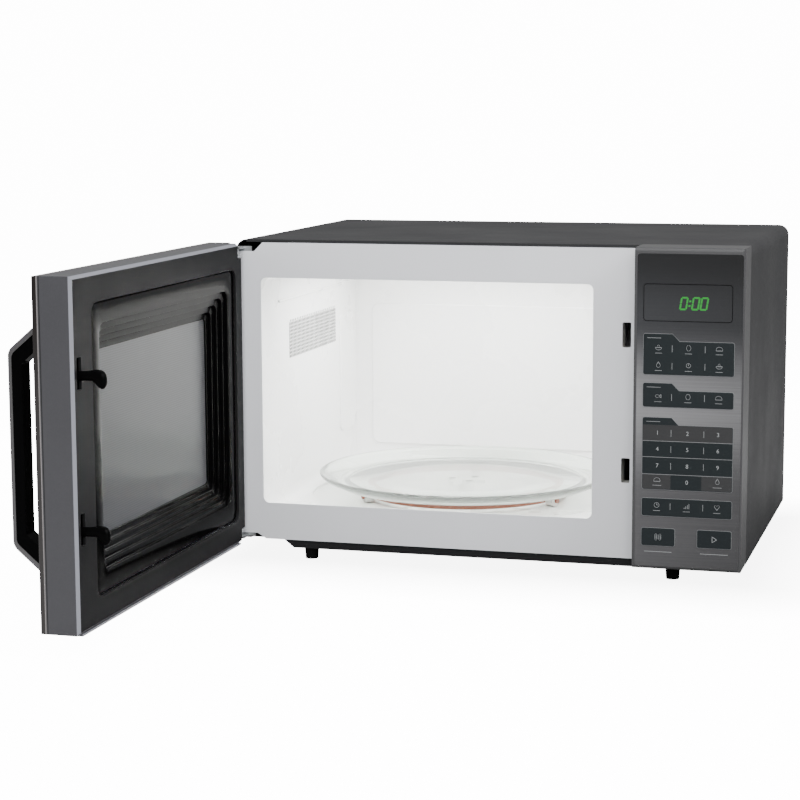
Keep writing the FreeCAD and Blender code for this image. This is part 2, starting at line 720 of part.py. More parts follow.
def make_turntable():
    floor = track_floor
    flat = d.plate_flat_radius
    rim = d.plate_radius
    solid = Solid("glass_plate")
    solid.turn(polygon(
        (0, plate_under), (flat, plate_under), (rim - 1, plate_under + d.plate_rim_height - d.glass),
        (rim, plate_under + d.plate_rim_height - 2), (rim - 1.5, plate_under + d.plate_rim_height),
        (rim - d.glass, plate_under + d.plate_rim_height - 1), (flat - 2, plate_under + d.glass),
        (0, plate_under + d.glass),
    ))
    lug_low = plate_under - 3
    lug = 60
    for index in range(3):
        angle = math.radians(lug + 120 * index)
        solid.pad("XY", lug_low, plate_under + 1, circle(
            d.lug_place * math.cos(angle), d.lug_place * math.sin(angle), d.lug_radius,
        ))
    keep("glass_plate", centre_on_spindle(solid.done()))

    solid = Solid("roller_ring")
    inner = d.roller_ring_radius - d.ring_width / 2
    outer = d.roller_ring_radius + d.ring_width / 2
    low = roller_centre - d.ring_height / 2
    solid.turn(
        polygon((inner, low), (outer, low), (outer, low + d.ring_height), (inner, low + d.ring_height)),
    )
    hub_face = outer + d.end_play
    tip = hub_face + d.roller_width + d.end_play
    solid.pad("YZ", outer - 1, tip + 2, circle(0, roller_centre, d.axle_radius))
    axle = solid.body.Tip
    solid.pad("YZ", tip, tip + 2, circle(0, roller_centre, d.axle_radius + 1))
    cap = solid.body.Tip
    solid.repeat_round([axle, cap], 3)
    keep("roller_ring", centre_on_spindle(solid.done(), RING_REST))

    for index in range(3):
        solid = Solid(f"roller_{index + 1}")
        solid.pad(
            "YZ", hub_face, hub_face + d.roller_width,
            circle(0, roller_centre, d.roller_radius),
            circle(0, roller_centre, d.axle_radius + d.running_gap),
        )
        keep(f"roller_{index + 1}", centre_on_spindle(solid.done(), RING_REST + 120 * index))

    solid = Solid("drive_coupler")
    low = floor + 0.6
    top = plate_under - d.panel_gap
    solid.pad("XY", low, top, circle(0, 0, d.coupler_radius))
    solid.pad(
        "XY", top - 4, top, rectangle(0, -d.coupler_arm_width / 2, d.coupler_arm, d.coupler_arm_width / 2),
    )
    solid.repeat_round([solid.body.Tip], 3)
    solid.pocket("XY", low, top - 3, circle(0, 0, d.spindle_radius))
    keep("drive_coupler", centre_on_spindle(solid.done()))

    solid = Solid("turntable_spindle")
    motor_top = floor - d.sheet
    solid.pad("XY", motor_top - d.motor_height + 3, top - 3, circle(0, 0, d.spindle_radius))
    keep("turntable_spindle", centre_on_spindle(solid.done()))

    solid = Solid("turntable_motor")
    solid.pad("XY", motor_top - d.motor_height, motor_top, circle(0, 0, d.motor_radius))
    solid.pad("XY", motor_top - 2, motor_top, rectangle(-d.motor_ear, -6, d.motor_ear, 6, 5))
    solid.pocket(
        "XY", motor_top - d.motor_height + 2.7, motor_top, circle(0, 0, d.spindle_radius + d.running_gap),
    )
    ears = [circle(side * (d.motor_ear - 4), 0, d.screw_hole) for side in (-1, 1)]
    solid.pocket("XY", motor_top - 2, motor_top, *ears)
    keep("turntable_motor", centre_on_spindle(solid.done()))

    screws = []
    for side in (-1, 1):
        spot = (spindle_x + side * (d.motor_ear - 4), spindle_y)
        screws.append(screw("z", spot, motor_top - 2, -1, 4))
    keep("motor_screws", group(screws))


# ---- door ----


def ring(solid, low, high, outer_inset, inner_inset, outer_radius=None, inner_radius=None):
    """A frame of the choke cover between two insets from its outline."""
    x0, x1 = left + d.cover_left, left + d.cover_right

    def frame(inset, radius):
        inset = as_size(inset)
        size = radius if radius is not None else d.cover_radius
        return rectangle(x0 + inset, d.cover_bottom + inset, x1 - inset, d.cover_top - inset, size)

    solid.pad("XZ", low, high, frame(outer_inset, outer_radius), frame(inner_inset, inner_radius))


def corner_notches(solid):
    """Clear the corners where the hinge arms swing."""
    x1 = hinge_x + d.notch_reach
    y0 = hinge_y - d.notch_reach + 1
    sink = d.notch_depth / 2 + d.lug_sheet + d.lug_gap
    upper = upper_arm - sink
    lower = lower_arm + d.hinge_arm + sink
    solid.pocket("XZ", y0, door_back, rectangle(door_x0 - 1, upper, x1, d.door_top + 1))
    solid.pocket("XZ", y0, door_back, rectangle(door_x0 - 1, d.door_bottom - 1, x1, lower))


def make_door():
    solid = Solid("door_surround")
    wall = d.surround
    solid.pad(
        "XZ", panel_back, door_back,
        rectangle(door_x0, d.door_bottom, door_x1, d.door_top),
        rectangle(door_x0 + wall, d.door_bottom + wall, door_x1 - wall, d.door_top - wall),
    )
    outer_sides = (door_x0, door_x1)
    outer_ends = (d.door_bottom, d.door_top)

    def rim_edge(spot, way):
        on_side = any(near(spot.x, side) for side in outer_sides)
        on_end = any(near(spot.z, end) for end in outer_ends)
        return near(spot.y, door_back) and (on_side or on_end)

    solid.soften(d.surround_chamfer - 0.4, rim_edge, "Chamfer")
    corner_notches(solid)
    keep("door_surround", hang_open(solid.done()))

    solid = Solid("door_inner_frame")
    gap = wall + 0.1
    groove = d.cover_groove
    solid.pad(
        "XZ", door_back - d.inner_skin, door_back,
        rectangle(door_x0 + gap, d.door_bottom + gap, door_x1 - gap, d.door_top - gap),
        rectangle(
            left + d.cover_left - groove, d.cover_bottom - groove,
            left + d.cover_right + groove, d.cover_top + groove, d.cover_radius + groove,
        ),
    )
    slots = []
    for middle in (upper_slot_z, lower_slot_z):
        x0 = left + d.lever_left - 1.6
        slots.append(rectangle(
            x0, middle - d.slot_height / 2, x0 + d.lever_width + 3.2, middle + d.slot_height / 2 + 3, 1,
        ))
    solid.pocket("XZ", door_back - d.inner_skin, door_back, *slots)
    corner_notches(solid)
    keep("door_inner_frame", hang_open(solid.done()))

    make_choke_panel()
    make_choke_cover()

    solid = Solid("door_inner_pane")
    inset = d.cover_flat + 4 * d.step_run - d.pane_bite
    solid.pad("XZ", choke_face, pane_face, rectangle(
        left + d.cover_left + inset, d.cover_bottom + inset,
        left + d.cover_right - inset, d.cover_top - inset, 3,
    ))
    keep("door_inner_pane", hang_open(solid.done()))

    solid = Solid("door_front_panel")
    x0, x1 = left + d.window_left, left + d.window_right
    bite = 4
    solid.pad(
        "XZ", door_face, panel_back,
        rectangle(door_x0, d.door_bottom, door_x1, d.door_top),
        rectangle(x0 + bite, d.window_bottom + bite, x1 - bite, d.window_top - bite, 6),
    )
    solid.pocket("XZ", door_face, door_face + d.window_glass, rectangle(
        x0, d.window_bottom, x1, d.window_top, 6,
    ))
    holes = [
        circle(left + d.handle_left + d.handle_width / 2, z, d.screw_hole) for z in handle_screw_heights()
    ]
    solid.pocket("XZ", door_face, panel_back, *holes)
    solid.soften(1.2, lambda spot, way: near(spot.y, door_face) and (
        any(near(spot.x, side) for side in outer_sides) or any(near(spot.z, end) for end in outer_ends)
    ))
    keep("door_front_panel", hang_open(solid.done()))

    solid = Solid("door_outer_window")
    solid.pad("XZ", door_face, door_face + d.window_glass, rectangle(
        x0 + 0.1, d.window_bottom + 0.1, x1 - 0.1, d.window_top - 0.1, 6,
    ))
    keep("door_outer_window", hang_open(solid.done()))


def make_choke_panel():
    solid = Solid("door_choke_panel")
    x0, x1 = door_x0 + d.surround + 0.5, door_x1 - d.surround - 0.5
    z0, z1 = d.door_bottom + d.surround + 0.5, d.door_top - d.surround - 0.5
    skin = d.sheet
    solid.pad("XZ", choke_back, choke_face, rectangle(x0, z0, x1, z1))
    wall_top = door_back - d.inner_skin - d.choke_gap
    solid.pad(
        "XZ", choke_face - skin / 2, wall_top,
        rectangle(x0, z0, x1, z1), rectangle(x0 + skin, z0 + skin, x1 - skin, z1 - skin),
    )
    corner_notches(solid)
    notch_y = hinge_y - d.notch_reach + 1 + d.panel_gap
    upper = upper_arm - d.notch_depth / 2
    lower = lower_arm + d.hinge_arm + d.notch_depth / 2
    lug_x0 = left + 0.8
    lug_x1 = hinge_x + 2 * d.notch_reach
    for low in (upper - d.lug_sheet, lower):
        solid.pad("XY", low, low + d.lug_sheet, polygon(
            (lug_x0, notch_y), (x0, notch_y), (x0, choke_face - skin / 2), (lug_x1, choke_face - skin / 2),
            (hinge_x + d.notch_reach - 1, door_back - 0.5), (lug_x0, door_back - 0.5),
        ))
        solid.pocket(
            "XY", low, low + d.lug_sheet, circle(hinge_x, hinge_y, d.pin_radius + d.running_gap),
        )
    keep("door_choke_panel", hang_open(solid.done()))


def make_choke_cover():
    """The moulded ring that hides the choke channel and steps down to the pane."""
    solid = Solid("choke_cover")
    face = door_back - d.cover_sink
    last = pane_face + d.tread
    rise = (face - last) / 4
    ring(solid, face - 3, face, 0, d.cover_flat)
    ring(solid, choke_face, face - 2.5, 0, 2)
    for step in range(4):
        high = face - rise * step
        low = face - rise * (step + 1)
        near_inset = d.cover_flat + d.step_run * step
        ring(solid, low - d.tread, high, near_inset - d.riser, near_inset)
        ring(solid, low - d.tread, low, near_inset - d.riser, near_inset + d.step_run)
    keep("choke_cover", hang_open(solid.done()))


def leg_height(depth):
    """How far up the door a leg's surface moves when it is set back by a depth."""
    slant = math.sqrt(1 + float(d.handle_slope) ** 2)
    return depth * d.handle_leg * Size(slant, "sqrt(1 + Dims.handle_slope * Dims.handle_slope)")


def handle_outline(outer, inner):
    """The strap between two depths below the handle's outer surface."""
    foot = d.handle_foot
    head = d.handle_foot + d.handle_height

    def side(depth):
        depth = as_size(depth)
        root = leg_height(depth)
        bend = root + (d.handle_reach - depth) * d.handle_slope
        return [
            (door_face, foot + root),
            (door_face - d.handle_reach + depth, foot + bend),
            (door_face - d.handle_reach + depth, head - bend),
            (door_face, head - root),
        ]

    return polygon(*side(outer), *reversed(side(inner)))


def handle_screw_heights():
    root = leg_height(d.handle_skin + d.handle_core / 2)
    return [d.handle_foot + root + 2, d.handle_foot + d.handle_height - root - 2]


def make_handle():
    x0 = left + d.handle_left
    x1 = x0 + d.handle_width
    bar = door_face - d.handle_reach

    def bends(depth):
        depth = as_size(depth)
        return lambda spot, way: near(spot.y, bar + depth) and abs(way.x) > 0.9

    solid = Solid("handle_skin")
    solid.pad("YZ", x0, x1, handle_outline(0, d.handle_skin))
    solid.soften(d.handle_bend, bends(0))
    solid.soften(d.handle_bend - d.handle_skin, bends(d.handle_skin))
    keep("handle_skin", hang_open(solid.done()))

    solid = Solid("handle_body")
    solid.pad("YZ", x0 + 0.6, x1 - 0.6, handle_outline(d.handle_skin, d.handle_skin + d.handle_core))
    solid.soften(d.handle_bend - d.handle_skin, bends(d.handle_skin))
    solid.soften(3, bends(d.handle_skin + d.handle_core))
    holes = [circle((x0 + x1) / 2, z, d.screw_hole) for z in handle_screw_heights()]
    solid.pocket("XZ", door_face - 6, door_face, *holes)
    keep("handle_body", hang_open(solid.done()))

    screws = []
    for z in handle_screw_heights():
        screws.append(screw("y", ((x0 + x1) / 2, z), panel_back, 1, d.front_panel + 5))
    keep("handle_screws", hang_open(group(screws)))


def make_hinges():
    for name, sign in (("upper_hinge", 1), ("lower_hinge", -1)):
        if sign > 0:
            arm_low = upper_arm
            pin_low, pin_high = arm_low - d.pin_length, arm_low + 0.5
            tab_low, tab_high = arm_low - 26, arm_low + d.hinge_arm
        else:
            arm_low = lower_arm
            pin_low, pin_high = arm_low + 1, arm_low + d.hinge_arm + d.pin_length
            tab_low, tab_high = arm_low, arm_low + 28
        x0 = inner_left + 0.4
        x1 = left + 2 * d.hinge_side
        arm = block((x0, hinge_y - 4.4, arm_low), (x1, plate_back + d.hinge_arm, arm_low + d.hinge_arm))
        tab = block((x0 + 1, plate_back, tab_low), (left + 17, plate_back + d.hinge_arm, tab_high))
        pin = rod("z", (hinge_x, hinge_y), d.pin_radius, pin_low, pin_high)
        keep(name, union(arm, tab, pin))


def make_latch():
    """Both hooks on one sliding lever, with its guides and its spring."""
    x0 = left + d.lever_left
    x1 = x0 + d.lever_width
    back = plate_face - d.lever_back
    front = plate_face - d.lever_front
    root = front
    solid = Solid("latch_lever")
    low = lower_slot_z - 12
    high = upper_slot_z + 14
    tip = plate_face + d.hook_reach
    neck = tip - d.hook_head
    corners = [(back, low), (back, high), (root, high)]
    for middle in (upper_slot_z, lower_slot_z):
        top = middle + d.hook_arm / 2 - 1
        foot = middle - d.hook_arm / 2 - 1
        corners += [
            (root, top), (neck, top + 1), (tip - 2, top + 2),
            (tip, top - 2), (tip, foot - d.hook_droop / 2),
            (tip - 3, foot - d.hook_droop), (neck - 1, foot - d.hook_droop), (neck - 3, foot), (root, foot),
        ]
    corners += [(root, low)]
    solid.pad("YZ", x0, x1, polygon(*corners))
    keep("latch_lever", hang_open(solid.done()))

    guides = []
    middle_x = (x0 + x1) / 2
    for z in (lower_slot_z + 35, upper_slot_z - 45):
        base = block((x0 - 4, choke_face, z), (x1 + 2.4, back - d.panel_gap, z + 14))
        cheeks = [
            block((x0 - 4, back - 1, z), (x0 - d.panel_gap, front, z + 14)),
            block((x1 + d.panel_gap, back - 1, z), (x1 + 2.4, front, z + 14)),
        ]
        guides.append(union(base, *cheeks))
    seat_low = high + d.spring_length
    guides.append(block((x0 - 4, choke_face, seat_low), (x1 + 2.4, front, seat_low + 5)))
    keep("latch_guides", hang_open(group(guides)))

    solid = Solid("latch_spring")
    middle_y = (back + front) / 2
    sketch = solid.sketch("XZ", 0, [circle(d.spring_radius, d.spring_wire, d.spring_wire)])
    coil = solid.body.newObject("PartDesign::AdditiveHelix", "coil")
    coil.Profile = sketch
    coil.ReferenceAxis = (sketch, ["V_Axis"])
    coil.Mode = 0
    bind(coil, "Pitch", d.spring_pitch)
    bind(coil, "Height", d.spring_length - 2 * d.spring_wire)
    solid.body.Tip = coil
    item = solid.done()
    item.Placement = FreeCAD.Placement(FreeCAD.Vector(), OPEN)
    bind(item, "Placement.Base.x", hinge_x - hinge_y + middle_y)
    bind(item, "Placement.Base.y", hinge_y + hinge_x - middle_x)
    bind(item, "Placement.Base.z", high)
    keep("latch_spring", item)


# ---- control panel ----


def key_pads():
    """The raised pads of the membrane: corner heights of each, from the top down."""
    x0, x1 = left + d.key_left, left + d.key_right
    rows = [(249, 209.5), (202, 178.5), (169, 99), (91, 73.2)]
    pads = [(x0, low, x1, high) for high, low in rows]
    pads.append((x0, 44.2, x0 + 32.6, 62))
    pads.append((x1 - 33, 44.2, x1, 62))
    return pads


def fascia_box():
    return (
        left + d.housing_left + d.fascia_inset_left, d.housing_bottom + d.fascia_inset_bottom,
        right - d.fascia_inset_right, d.housing_top - d.fascia_inset_top,
    )


def make_control_panel():
    x0 = left + d.housing_left
    wall = d.housing_wall
    solid = Solid("control_housing")
    solid.pad("XZ", door_face, plate_face, rectangle(x0, d.housing_bottom, right, d.housing_top))
    solid.soften(d.housing_radius, lambda spot, way: near(spot.y, door_face) and (
        near(spot.x, right) or near(spot.z, d.housing_top) or near(spot.z, d.housing_bottom)
    ))
    face_depth = wall + d.fascia
    solid.pocket(
        "XZ", door_face + face_depth, plate_face,
        rectangle(x0 + wall, d.housing_bottom + wall, right - wall, d.housing_top - wall),
    )
    fx0, fz0, fx1, fz1 = fascia_box()
    solid.pocket("XZ", door_face, door_face + d.fascia, rectangle(fx0, fz0, fx1, fz1, d.fascia_radius))
    lens = (left + d.lens_left, d.lens_bottom)
    solid.pocket("XZ", door_face + d.fascia, door_face + face_depth, rectangle(
        lens[0] + 3, lens[1] + 3, lens[0] + d.lens_width - 3, lens[1] + d.lens_height - 3,
    ))
    board_y = door_face + d.board_back
    board = (x0 + wall + 3, d.housing_bottom + 28, right - wall - 3, d.housing_top - 24)
    posts = [circle(x, z, 3) for x in (board[0] + 6, board[2] - 6) for z in (board[1] + 6, board[3] - 6)]
    solid.pad("XZ", door_face + face_depth - 0.5, board_y, *posts)
    rim = casing_front - d.panel_gap
    solid.pad("XZ", plate_face - 0.5, rim, polygon(
        (x0, casing_top - d.plate_top_gap + 0.5), (x0, d.housing_top), (right, d.housing_top),
        (right, d.housing_bottom), (right - d.plate_right + 0.5, d.housing_bottom),
        (right - d.plate_right + 0.5, casing_top - d.plate_top_gap + 0.5),
    ))
    keep("control_housing", solid.done())

    solid = Solid("control_fascia")
    gap = 0.1
    solid.pad(
        "XZ", door_face, door_face + d.fascia,
        rectangle(fx0 + gap, fz0 + gap, fx1 - gap, fz1 - gap, d.fascia_radius),
        rectangle(lens[0], lens[1], lens[0] + d.lens_width, lens[1] + d.lens_height, d.lens_radius),
    )
    keep("control_fascia", solid.done())

    solid = Solid("display_lens")
    solid.pad("XZ", door_face - 0.2, door_face + d.fascia, rectangle(
        lens[0] + gap, lens[1] + gap, lens[0] + d.lens_width - gap,
        lens[1] + d.lens_height - gap, d.lens_radius,
    ))
    keep("display_lens", solid.done())

    pads = []
    for low_x, low_z, high_x, high_z in key_pads():
        solid = Solid("key_pad")
        solid.pad("XZ", door_face - d.key_raise, door_face, rectangle(low_x, low_z, high_x, high_z, 2))
        pads.append(solid.done())
    keep("keypad_membrane", group(pads))

    solid = Solid("control_board")
    solid.pad("XZ", board_y, board_y + d.board, rectangle(*board, 2))
    keep("control_board", solid.done())

    keep("display_module", block(
        (lens[0] + 6, door_face + face_depth + 1, lens[1] + 5),
        (lens[0] + d.lens_width - 6, board_y, lens[1] + d.lens_height - 5),
    ))
    rear = board_y + d.board
    relays = []
    for index in range(2):
        start = board[0] + 10 + 26 * index
        relays.append(block((start, rear, 150), (start + 20, rear + 15, 178)))
    keep("relays", group(relays))


# ---- door switches ----


def make_door_switches():
    x0 = left + d.switch_board_left
    x1 = x0 + d.switch_board_width
    depth = plate_back + d.switch_board_depth
    channel_x = left + d.slot_left - 1.5
    channel_end = channel_x + d.slot_width + 3
    low = lower_slot_z - 32
    high = upper_slot_z + 32
    board = block((x0, plate_back, low), (x1, depth, high))
    cutters = []
    for middle in (upper_slot_z, lower_slot_z):
        half = d.slot_height / 2 + 2
        cutters.append(
            block((channel_x, plate_back - 1, middle - half), (channel_end, depth + 1, middle + half)),
        )
        cutters.append(
            block((channel_end - 1, plate_back + 4, middle - 14), (x1 + 1, depth + 1, middle + 14)),
        )
    middle_z = (low + high) / 2
    cutters.append(block((x0 + 8, plate_back + 4, middle_z - 34), (x1 - 6, depth + 1, middle_z + 34)))
    keep("latch_board", difference(board, *cutters))

    switch_y = plate_back + 4
    switch_x = channel_end + 2.2
    cases = []
    for middle in (upper_slot_z, lower_slot_z):
        foot = middle - d.switch_height / 2
        cases.append(
            block((switch_x, switch_y, foot), (switch_x + d.switch_width, depth, foot + d.switch_height)),
        )
    foot = middle_z - d.switch_height / 2
    cases.append(
        block((x0 + 10, switch_y, foot), (x0 + 10 + d.switch_width, depth, foot + d.switch_height)),
    )
    keep("door_switches", group(cases))


# ---- microwave generator ----


def make_generator():
    x0 = cavity_wall
    x1 = x0 + d.guide_depth
    y0 = plate_face + d.guide_front
    y1 = y0 + d.guide_length
    z0 = d.guide_bottom
    z1 = z0 + d.guide_height
    skin = d.sheet
    antenna_y = plate_face + d.yoke_front + d.yoke_length / 2
    antenna_z = z0 + d.guide_height / 2
    outside = block((x0, y0, z0), (x1, y1, z1))
    inside = block((x0 - 1, y0 + skin, z0 + skin), (x1 - skin, y1 - skin, z1 - skin))
    hole = rod("x", (antenna_y, antenna_z), d.antenna_radius + 2, x1 - 2 * skin, x1 + 1)
    keep("waveguide", difference(outside, inside, hole))

    yoke_x1 = x1 + d.yoke_width
    yoke_y0 = plate_face + d.yoke_front
    yoke_y1 = yoke_y0 + d.yoke_length
    yoke_z0 = antenna_z - d.yoke_height / 2
    yoke_z1 = antenna_z + d.yoke_height / 2
    thick = d.yoke_sheet
    shell = block((x1, yoke_y0, yoke_z0), (yoke_x1, yoke_y1, yoke_z1))
    hollow = block(
        (x1 + thick, yoke_y0 - 1, yoke_z0 + thick), (yoke_x1 - thick, yoke_y1 + 1, yoke_z1 - thick),
    )
    door_hole = rod("x", (antenna_y, antenna_z), d.antenna_radius + 2, x1 - 1, x1 + 2 * thick)
    keep("magnetron_yoke", difference(shell, hollow, door_hole))

    magnet_low = x1 + thick
    magnet_high = yoke_x1 - thick
    magnets = []
    for start in (magnet_low, magnet_high - d.magnet):
        disc = rod("x", (antenna_y, antenna_z), d.magnet_radius, start, start + d.magnet)
        centre = rod("x", (antenna_y, antenna_z), d.anode_radius / 2, start - 1, start + d.magnet + 1)
        magnets.append(difference(disc, centre))
    keep("magnetron_magnets", group(magnets))

    anode_low = magnet_low + d.magnet
    anode_high = magnet_high - d.magnet
    pieces = [rod("x", (antenna_y, antenna_z), d.anode_radius, anode_low, anode_high)]
    middle = (anode_low + anode_high) / 2
    for index in range(MAGNETRON_FINS):
        x = middle + (index - (MAGNETRON_FINS - 1) / 2) * d.fin_pitch
        pieces.append(block(
            (x, yoke_y0 + 2, yoke_z0 + thick), (x + d.fin, yoke_y1 - 2, yoke_z1 - thick),
        ))
    stem = rod("x", (antenna_y, antenna_z), d.antenna_radius, x1 - d.antenna_length, x1 - 0.5)
    neck = rod("x", (antenna_y, antenna_z), d.anode_radius / 2 - 0.5, x1 - 1, anode_low)
    keep("magnetron_tube", union(stem, neck, *pieces))
    keep("filter_box", block(
        (yoke_x1, yoke_y0 + 18, antenna_z - 24), (yoke_x1 + 21, yoke_y1 - 18, antenna_z + 24),
    ))


# ---- high voltage supply ----


def make_supply():
    x0 = left + d.core_left
    x1 = x0 + d.core_width
    y0 = plate_face + d.core_front
    y1 = y0 + d.core_depth
    z0 = pan_floor
    z1 = z0 + d.core_height
    limb = d.core_width / 6
    leg0 = x0 + 2 * limb + 2
    leg1 = x1 - 2 * limb - 2
    core = block((x0, y0, z0), (x1, y1, z1))
    windows = [
        block((x0 + limb, y0 - 1, z0 + limb), (leg0, y1 + 1, z1 - limb)),
        block((leg1, y0 - 1, z0 + limb), (x1 - limb, y1 + 1, z1 - limb)),
    ]
    keep("transformer_core", difference(core, *windows))
    gap = d.coil_gap
    middle = z0 + d.core_height / 2
    spans = {
        "primary_coil": (z0 + limb + gap, middle - gap),
        "secondary_coil": (middle + gap, z1 - limb - gap),
    }
    for name, (low, high) in spans.items():
        solid = Solid(name)
        solid.pad(
            "XY", low, high,
            rectangle(x0 + limb + gap, y0 - d.coil_overhang, x1 - limb - gap, y1 + d.coil_overhang, 12),
            rectangle(leg0 - gap, y0 - gap, leg1 + gap, y1 + gap),
        )
        keep(name, solid.done())

    can_x0 = left + d.can_left
    can_x1 = can_x0 + d.can_width
    can_y0 = plate_face + d.can_front
    can_y1 = can_y0 + d.can_depth
    top = pan_floor + d.can_height
    round_end = d.can_depth / 2 - 0.1
    solid = Solid("high_voltage_capacitor")
    solid.pad("XY", pan_floor, top, rectangle(can_x0, can_y0, can_x1, can_y1, round_end))
    posts = [circle(can_x0 + d.can_width / 2 + side * 9, (can_y0 + can_y1) / 2, 3) for side in (-1, 1)]
    solid.pad("XY", top - 0.5, top + 8, *posts)
    keep("high_voltage_capacitor", solid.done())

    strap = d.strap
    solid = Solid("capacitor_strap")
    middle = pan_floor + d.can_height / 2
    solid.pad(
        "XY", middle, middle + 14,
        rectangle(
            can_x0 - strap - 0.1, can_y0 - strap - 0.1,
            can_x1 + strap + 0.1, can_y1 + strap + 0.1, round_end + strap,
        ),
        rectangle(can_x0 - 0.1, can_y0 - 0.1, can_x1 + 0.1, can_y1 + 0.1, round_end),
    )
    solid.pad("XZ", can_y0 - strap - 0.1, can_y0 - 0.1, polygon(
        (can_x0 + 14, pan_floor), (can_x1 - 14, pan_floor),
        (can_x1 - 14, middle + 1), (can_x0 + 14, middle + 1),
    ))
    keep("capacitor_strap", solid.done())

    diode_y = (can_y0 + can_y1) / 2
    diode_z = top + d.diode_radius + 4
    diode_x = can_x0 + d.can_width / 2 - d.diode_length / 2
    body = rod(
        "x", (diode_y + 3 + d.diode_radius, diode_z), d.diode_radius, diode_x, diode_x + d.diode_length,
    )
    wires = []
    for end in (diode_x - 2, diode_x + d.diode_length - 0.2):
        wires.append(rod("x", (diode_y + 3 + d.diode_radius, diode_z), 0.7, end, end + 2.2))
    keep("high_voltage_diode", union(body, *wires))


# ---- cooling fan ----


def make_fan():
    x = left + d.fan_across
    z = d.fan_height
    rear = back_panel_face
    front = rear - d.fan_frame_depth
    half = d.fan_frame
    frame = block((x - half, front, z - half), (x + half, rear, z + half))
    duct = rod("y", (x, z), d.fan_radius + d.fan_gap, front - 1, rear + 1)
    bar = block((x - half + 1, front, z - 7), (x + half - 1, front + d.fan_bar, z + 7))
    shaft_hole = rod("y", (x, z), 3, front - 1, front + d.fan_bar + 1)
    keep("fan_frame", difference(union(difference(frame, duct), bar), shaft_hole))

    motor_half = d.fan_motor / 2
    motor = block(
        (x - motor_half, front - d.fan_motor_depth, z - motor_half),
        (x + motor_half, front, z + motor_half),
    )
    bore = rod("y", (x, z), d.fan_shaft + d.running_gap, front - 10, front + 1)
    keep("fan_motor", difference(motor, bore))

    blade_low = front + d.fan_bar + 2
    blade_high = rear - 3
    middle = (blade_low + blade_high) / 2
    hub = rod("y", (x, z), d.fan_hub, blade_low, blade_high)
    shaft = rod("y", (x, z), d.fan_shaft, front - 9, blade_low + 1)
    blades = []
    for index in range(FAN_BLADES):
        blade = document.addObject("Part::Box", "blade")
        bind(blade, "Length", d.fan_radius - d.fan_hub + 2)
        bind(blade, "Width", d.fan_blade)
        bind(blade, "Height", d.fan_blade_chord)
        pitch = FreeCAD.Rotation(FreeCAD.Vector(1, 0, 0), 52)
        degrees = 360 / FAN_BLADES * index
        turn = FreeCAD.Rotation(FreeCAD.Vector(0, 1, 0), degrees)
        blade.Placement = FreeCAD.Placement(FreeCAD.Vector(), turn.multiply(pitch))
        reach = d.fan_hub - 2
        angle = math.radians(degrees)
        inner = pitch.multVec(FreeCAD.Vector(0, 0, 1))
        half_chord = d.fan_blade_chord / 2
        lateral = half_chord * inner.z
        bind(blade, "Placement.Base.x", x + reach * math.cos(angle) - lateral * math.sin(angle))
        bind(blade, "Placement.Base.y", middle - half_chord * inner.y)
        bind(blade, "Placement.Base.z", z - reach * math.sin(angle) - lateral * math.cos(angle))
        blades.append(blade)
    keep("fan_blade", union(hub, shaft, *blades))


# ---- lamp, filter board and thermal cut-out ----


def make_lamp():
    y = plate_face + d.lamp_y
    z = d.lamp_z
    bracket_x = cavity_wall
    plate = block((bracket_x, y - 20, z - 20), (bracket_x + d.sheet, y + 20, z + 20))
    window = rod("x", (y, z), d.lamp_hole, bracket_x - 1, bracket_x + 2)
    arm = block((bracket_x + d.sheet - 0.5, y - 20, z - 20), (bracket_x + 42, y - 19, z + 20))
    cup = rod("x", (y, z), 11, bracket_x + 28, bracket_x + 46)
    cup_foot = block((bracket_x + 28, y - 19.5, z - 6), (bracket_x + 42, y, z + 6))
    keep("lamp_socket", union(difference(union(plate, arm), window), cup, cup_foot))
    solid = Solid("lamp_bulb")
    solid.turn(polygon((0, 3), (6, 5), (9.5, 10), (9.5, 17), (6, 22), (6, 26.9), (0, 26.9)))
    solid.soften(2, lambda spot, way: near(spot.z, 10) or near(spot.z, 17))
    bulb = solid.done()
    place(bulb, (bracket_x + 1, y, z), TURN_TO["x"])
    keep("lamp_bulb", bulb)


def make_small_electrics():
    x0 = left + 384
    y1 = back_panel_face
    board = block((x0, y1 - 60, 262), (x0 + 50, y1 - 58, 302))
    pillars = [rod("y", (x, 282), 3, y1 - 59, y1) for x in (x0 + 6, x0 + 44)]
    choke = rod("y", (x0 + 30, 274), 9, y1 - 74, y1 - 59)
    keep("filter_board", union(board, choke, *pillars))
    top = cavity_z1 + d.sheet
    disc = rod("z", (spindle_x + 60, spindle_y + 40), 8, top, top + 7)
    ears = block((spindle_x + 46, spindle_y + 36, top), (spindle_x + 74, spindle_y + 44, top + d.sheet))
    keep("thermal_cutout", union(disc, ears))


def build():
    make_outer_wrap()
    make_casing_screws()
    make_back_panel()
    make_base_plate()
    make_feet()
    make_cord_inlet()
    make_front_plate()
    make_cavity()
    make_waveguide_cover()
    make_turntable()
    make_door()
    make_handle()
    make_hinges()
    make_latch()
    make_control_panel()
    make_door_switches()
    make_generator()
    make_supply()
    make_fan()
    make_lamp()
    make_small_electrics()
    document.recompute()


def faults():
    """Name every object that failed, every empty or broken sub-part and every cut that cut nothing."""
    found = []
    for item in document.Objects:
        if {"Invalid", "Error"} & set(item.State):
            found.append(f"{item.Label} failed: {item.State}")
        if item.TypeId == "PartDesign::Pocket" and item.BaseFeature is not None:
            if item.Shape.Volume > item.BaseFeature.Shape.Volume - 1e-6:
                found.append(f"{item.Label} in {item.getParentGeoFeatureGroup().Label} cut nothing")
    for name, item in NODES.items():
        if item.Shape.isNull() or not item.Shape.isValid() or not item.Shape.Solids:
            found.append(f"{name} has no valid solid")
    return found


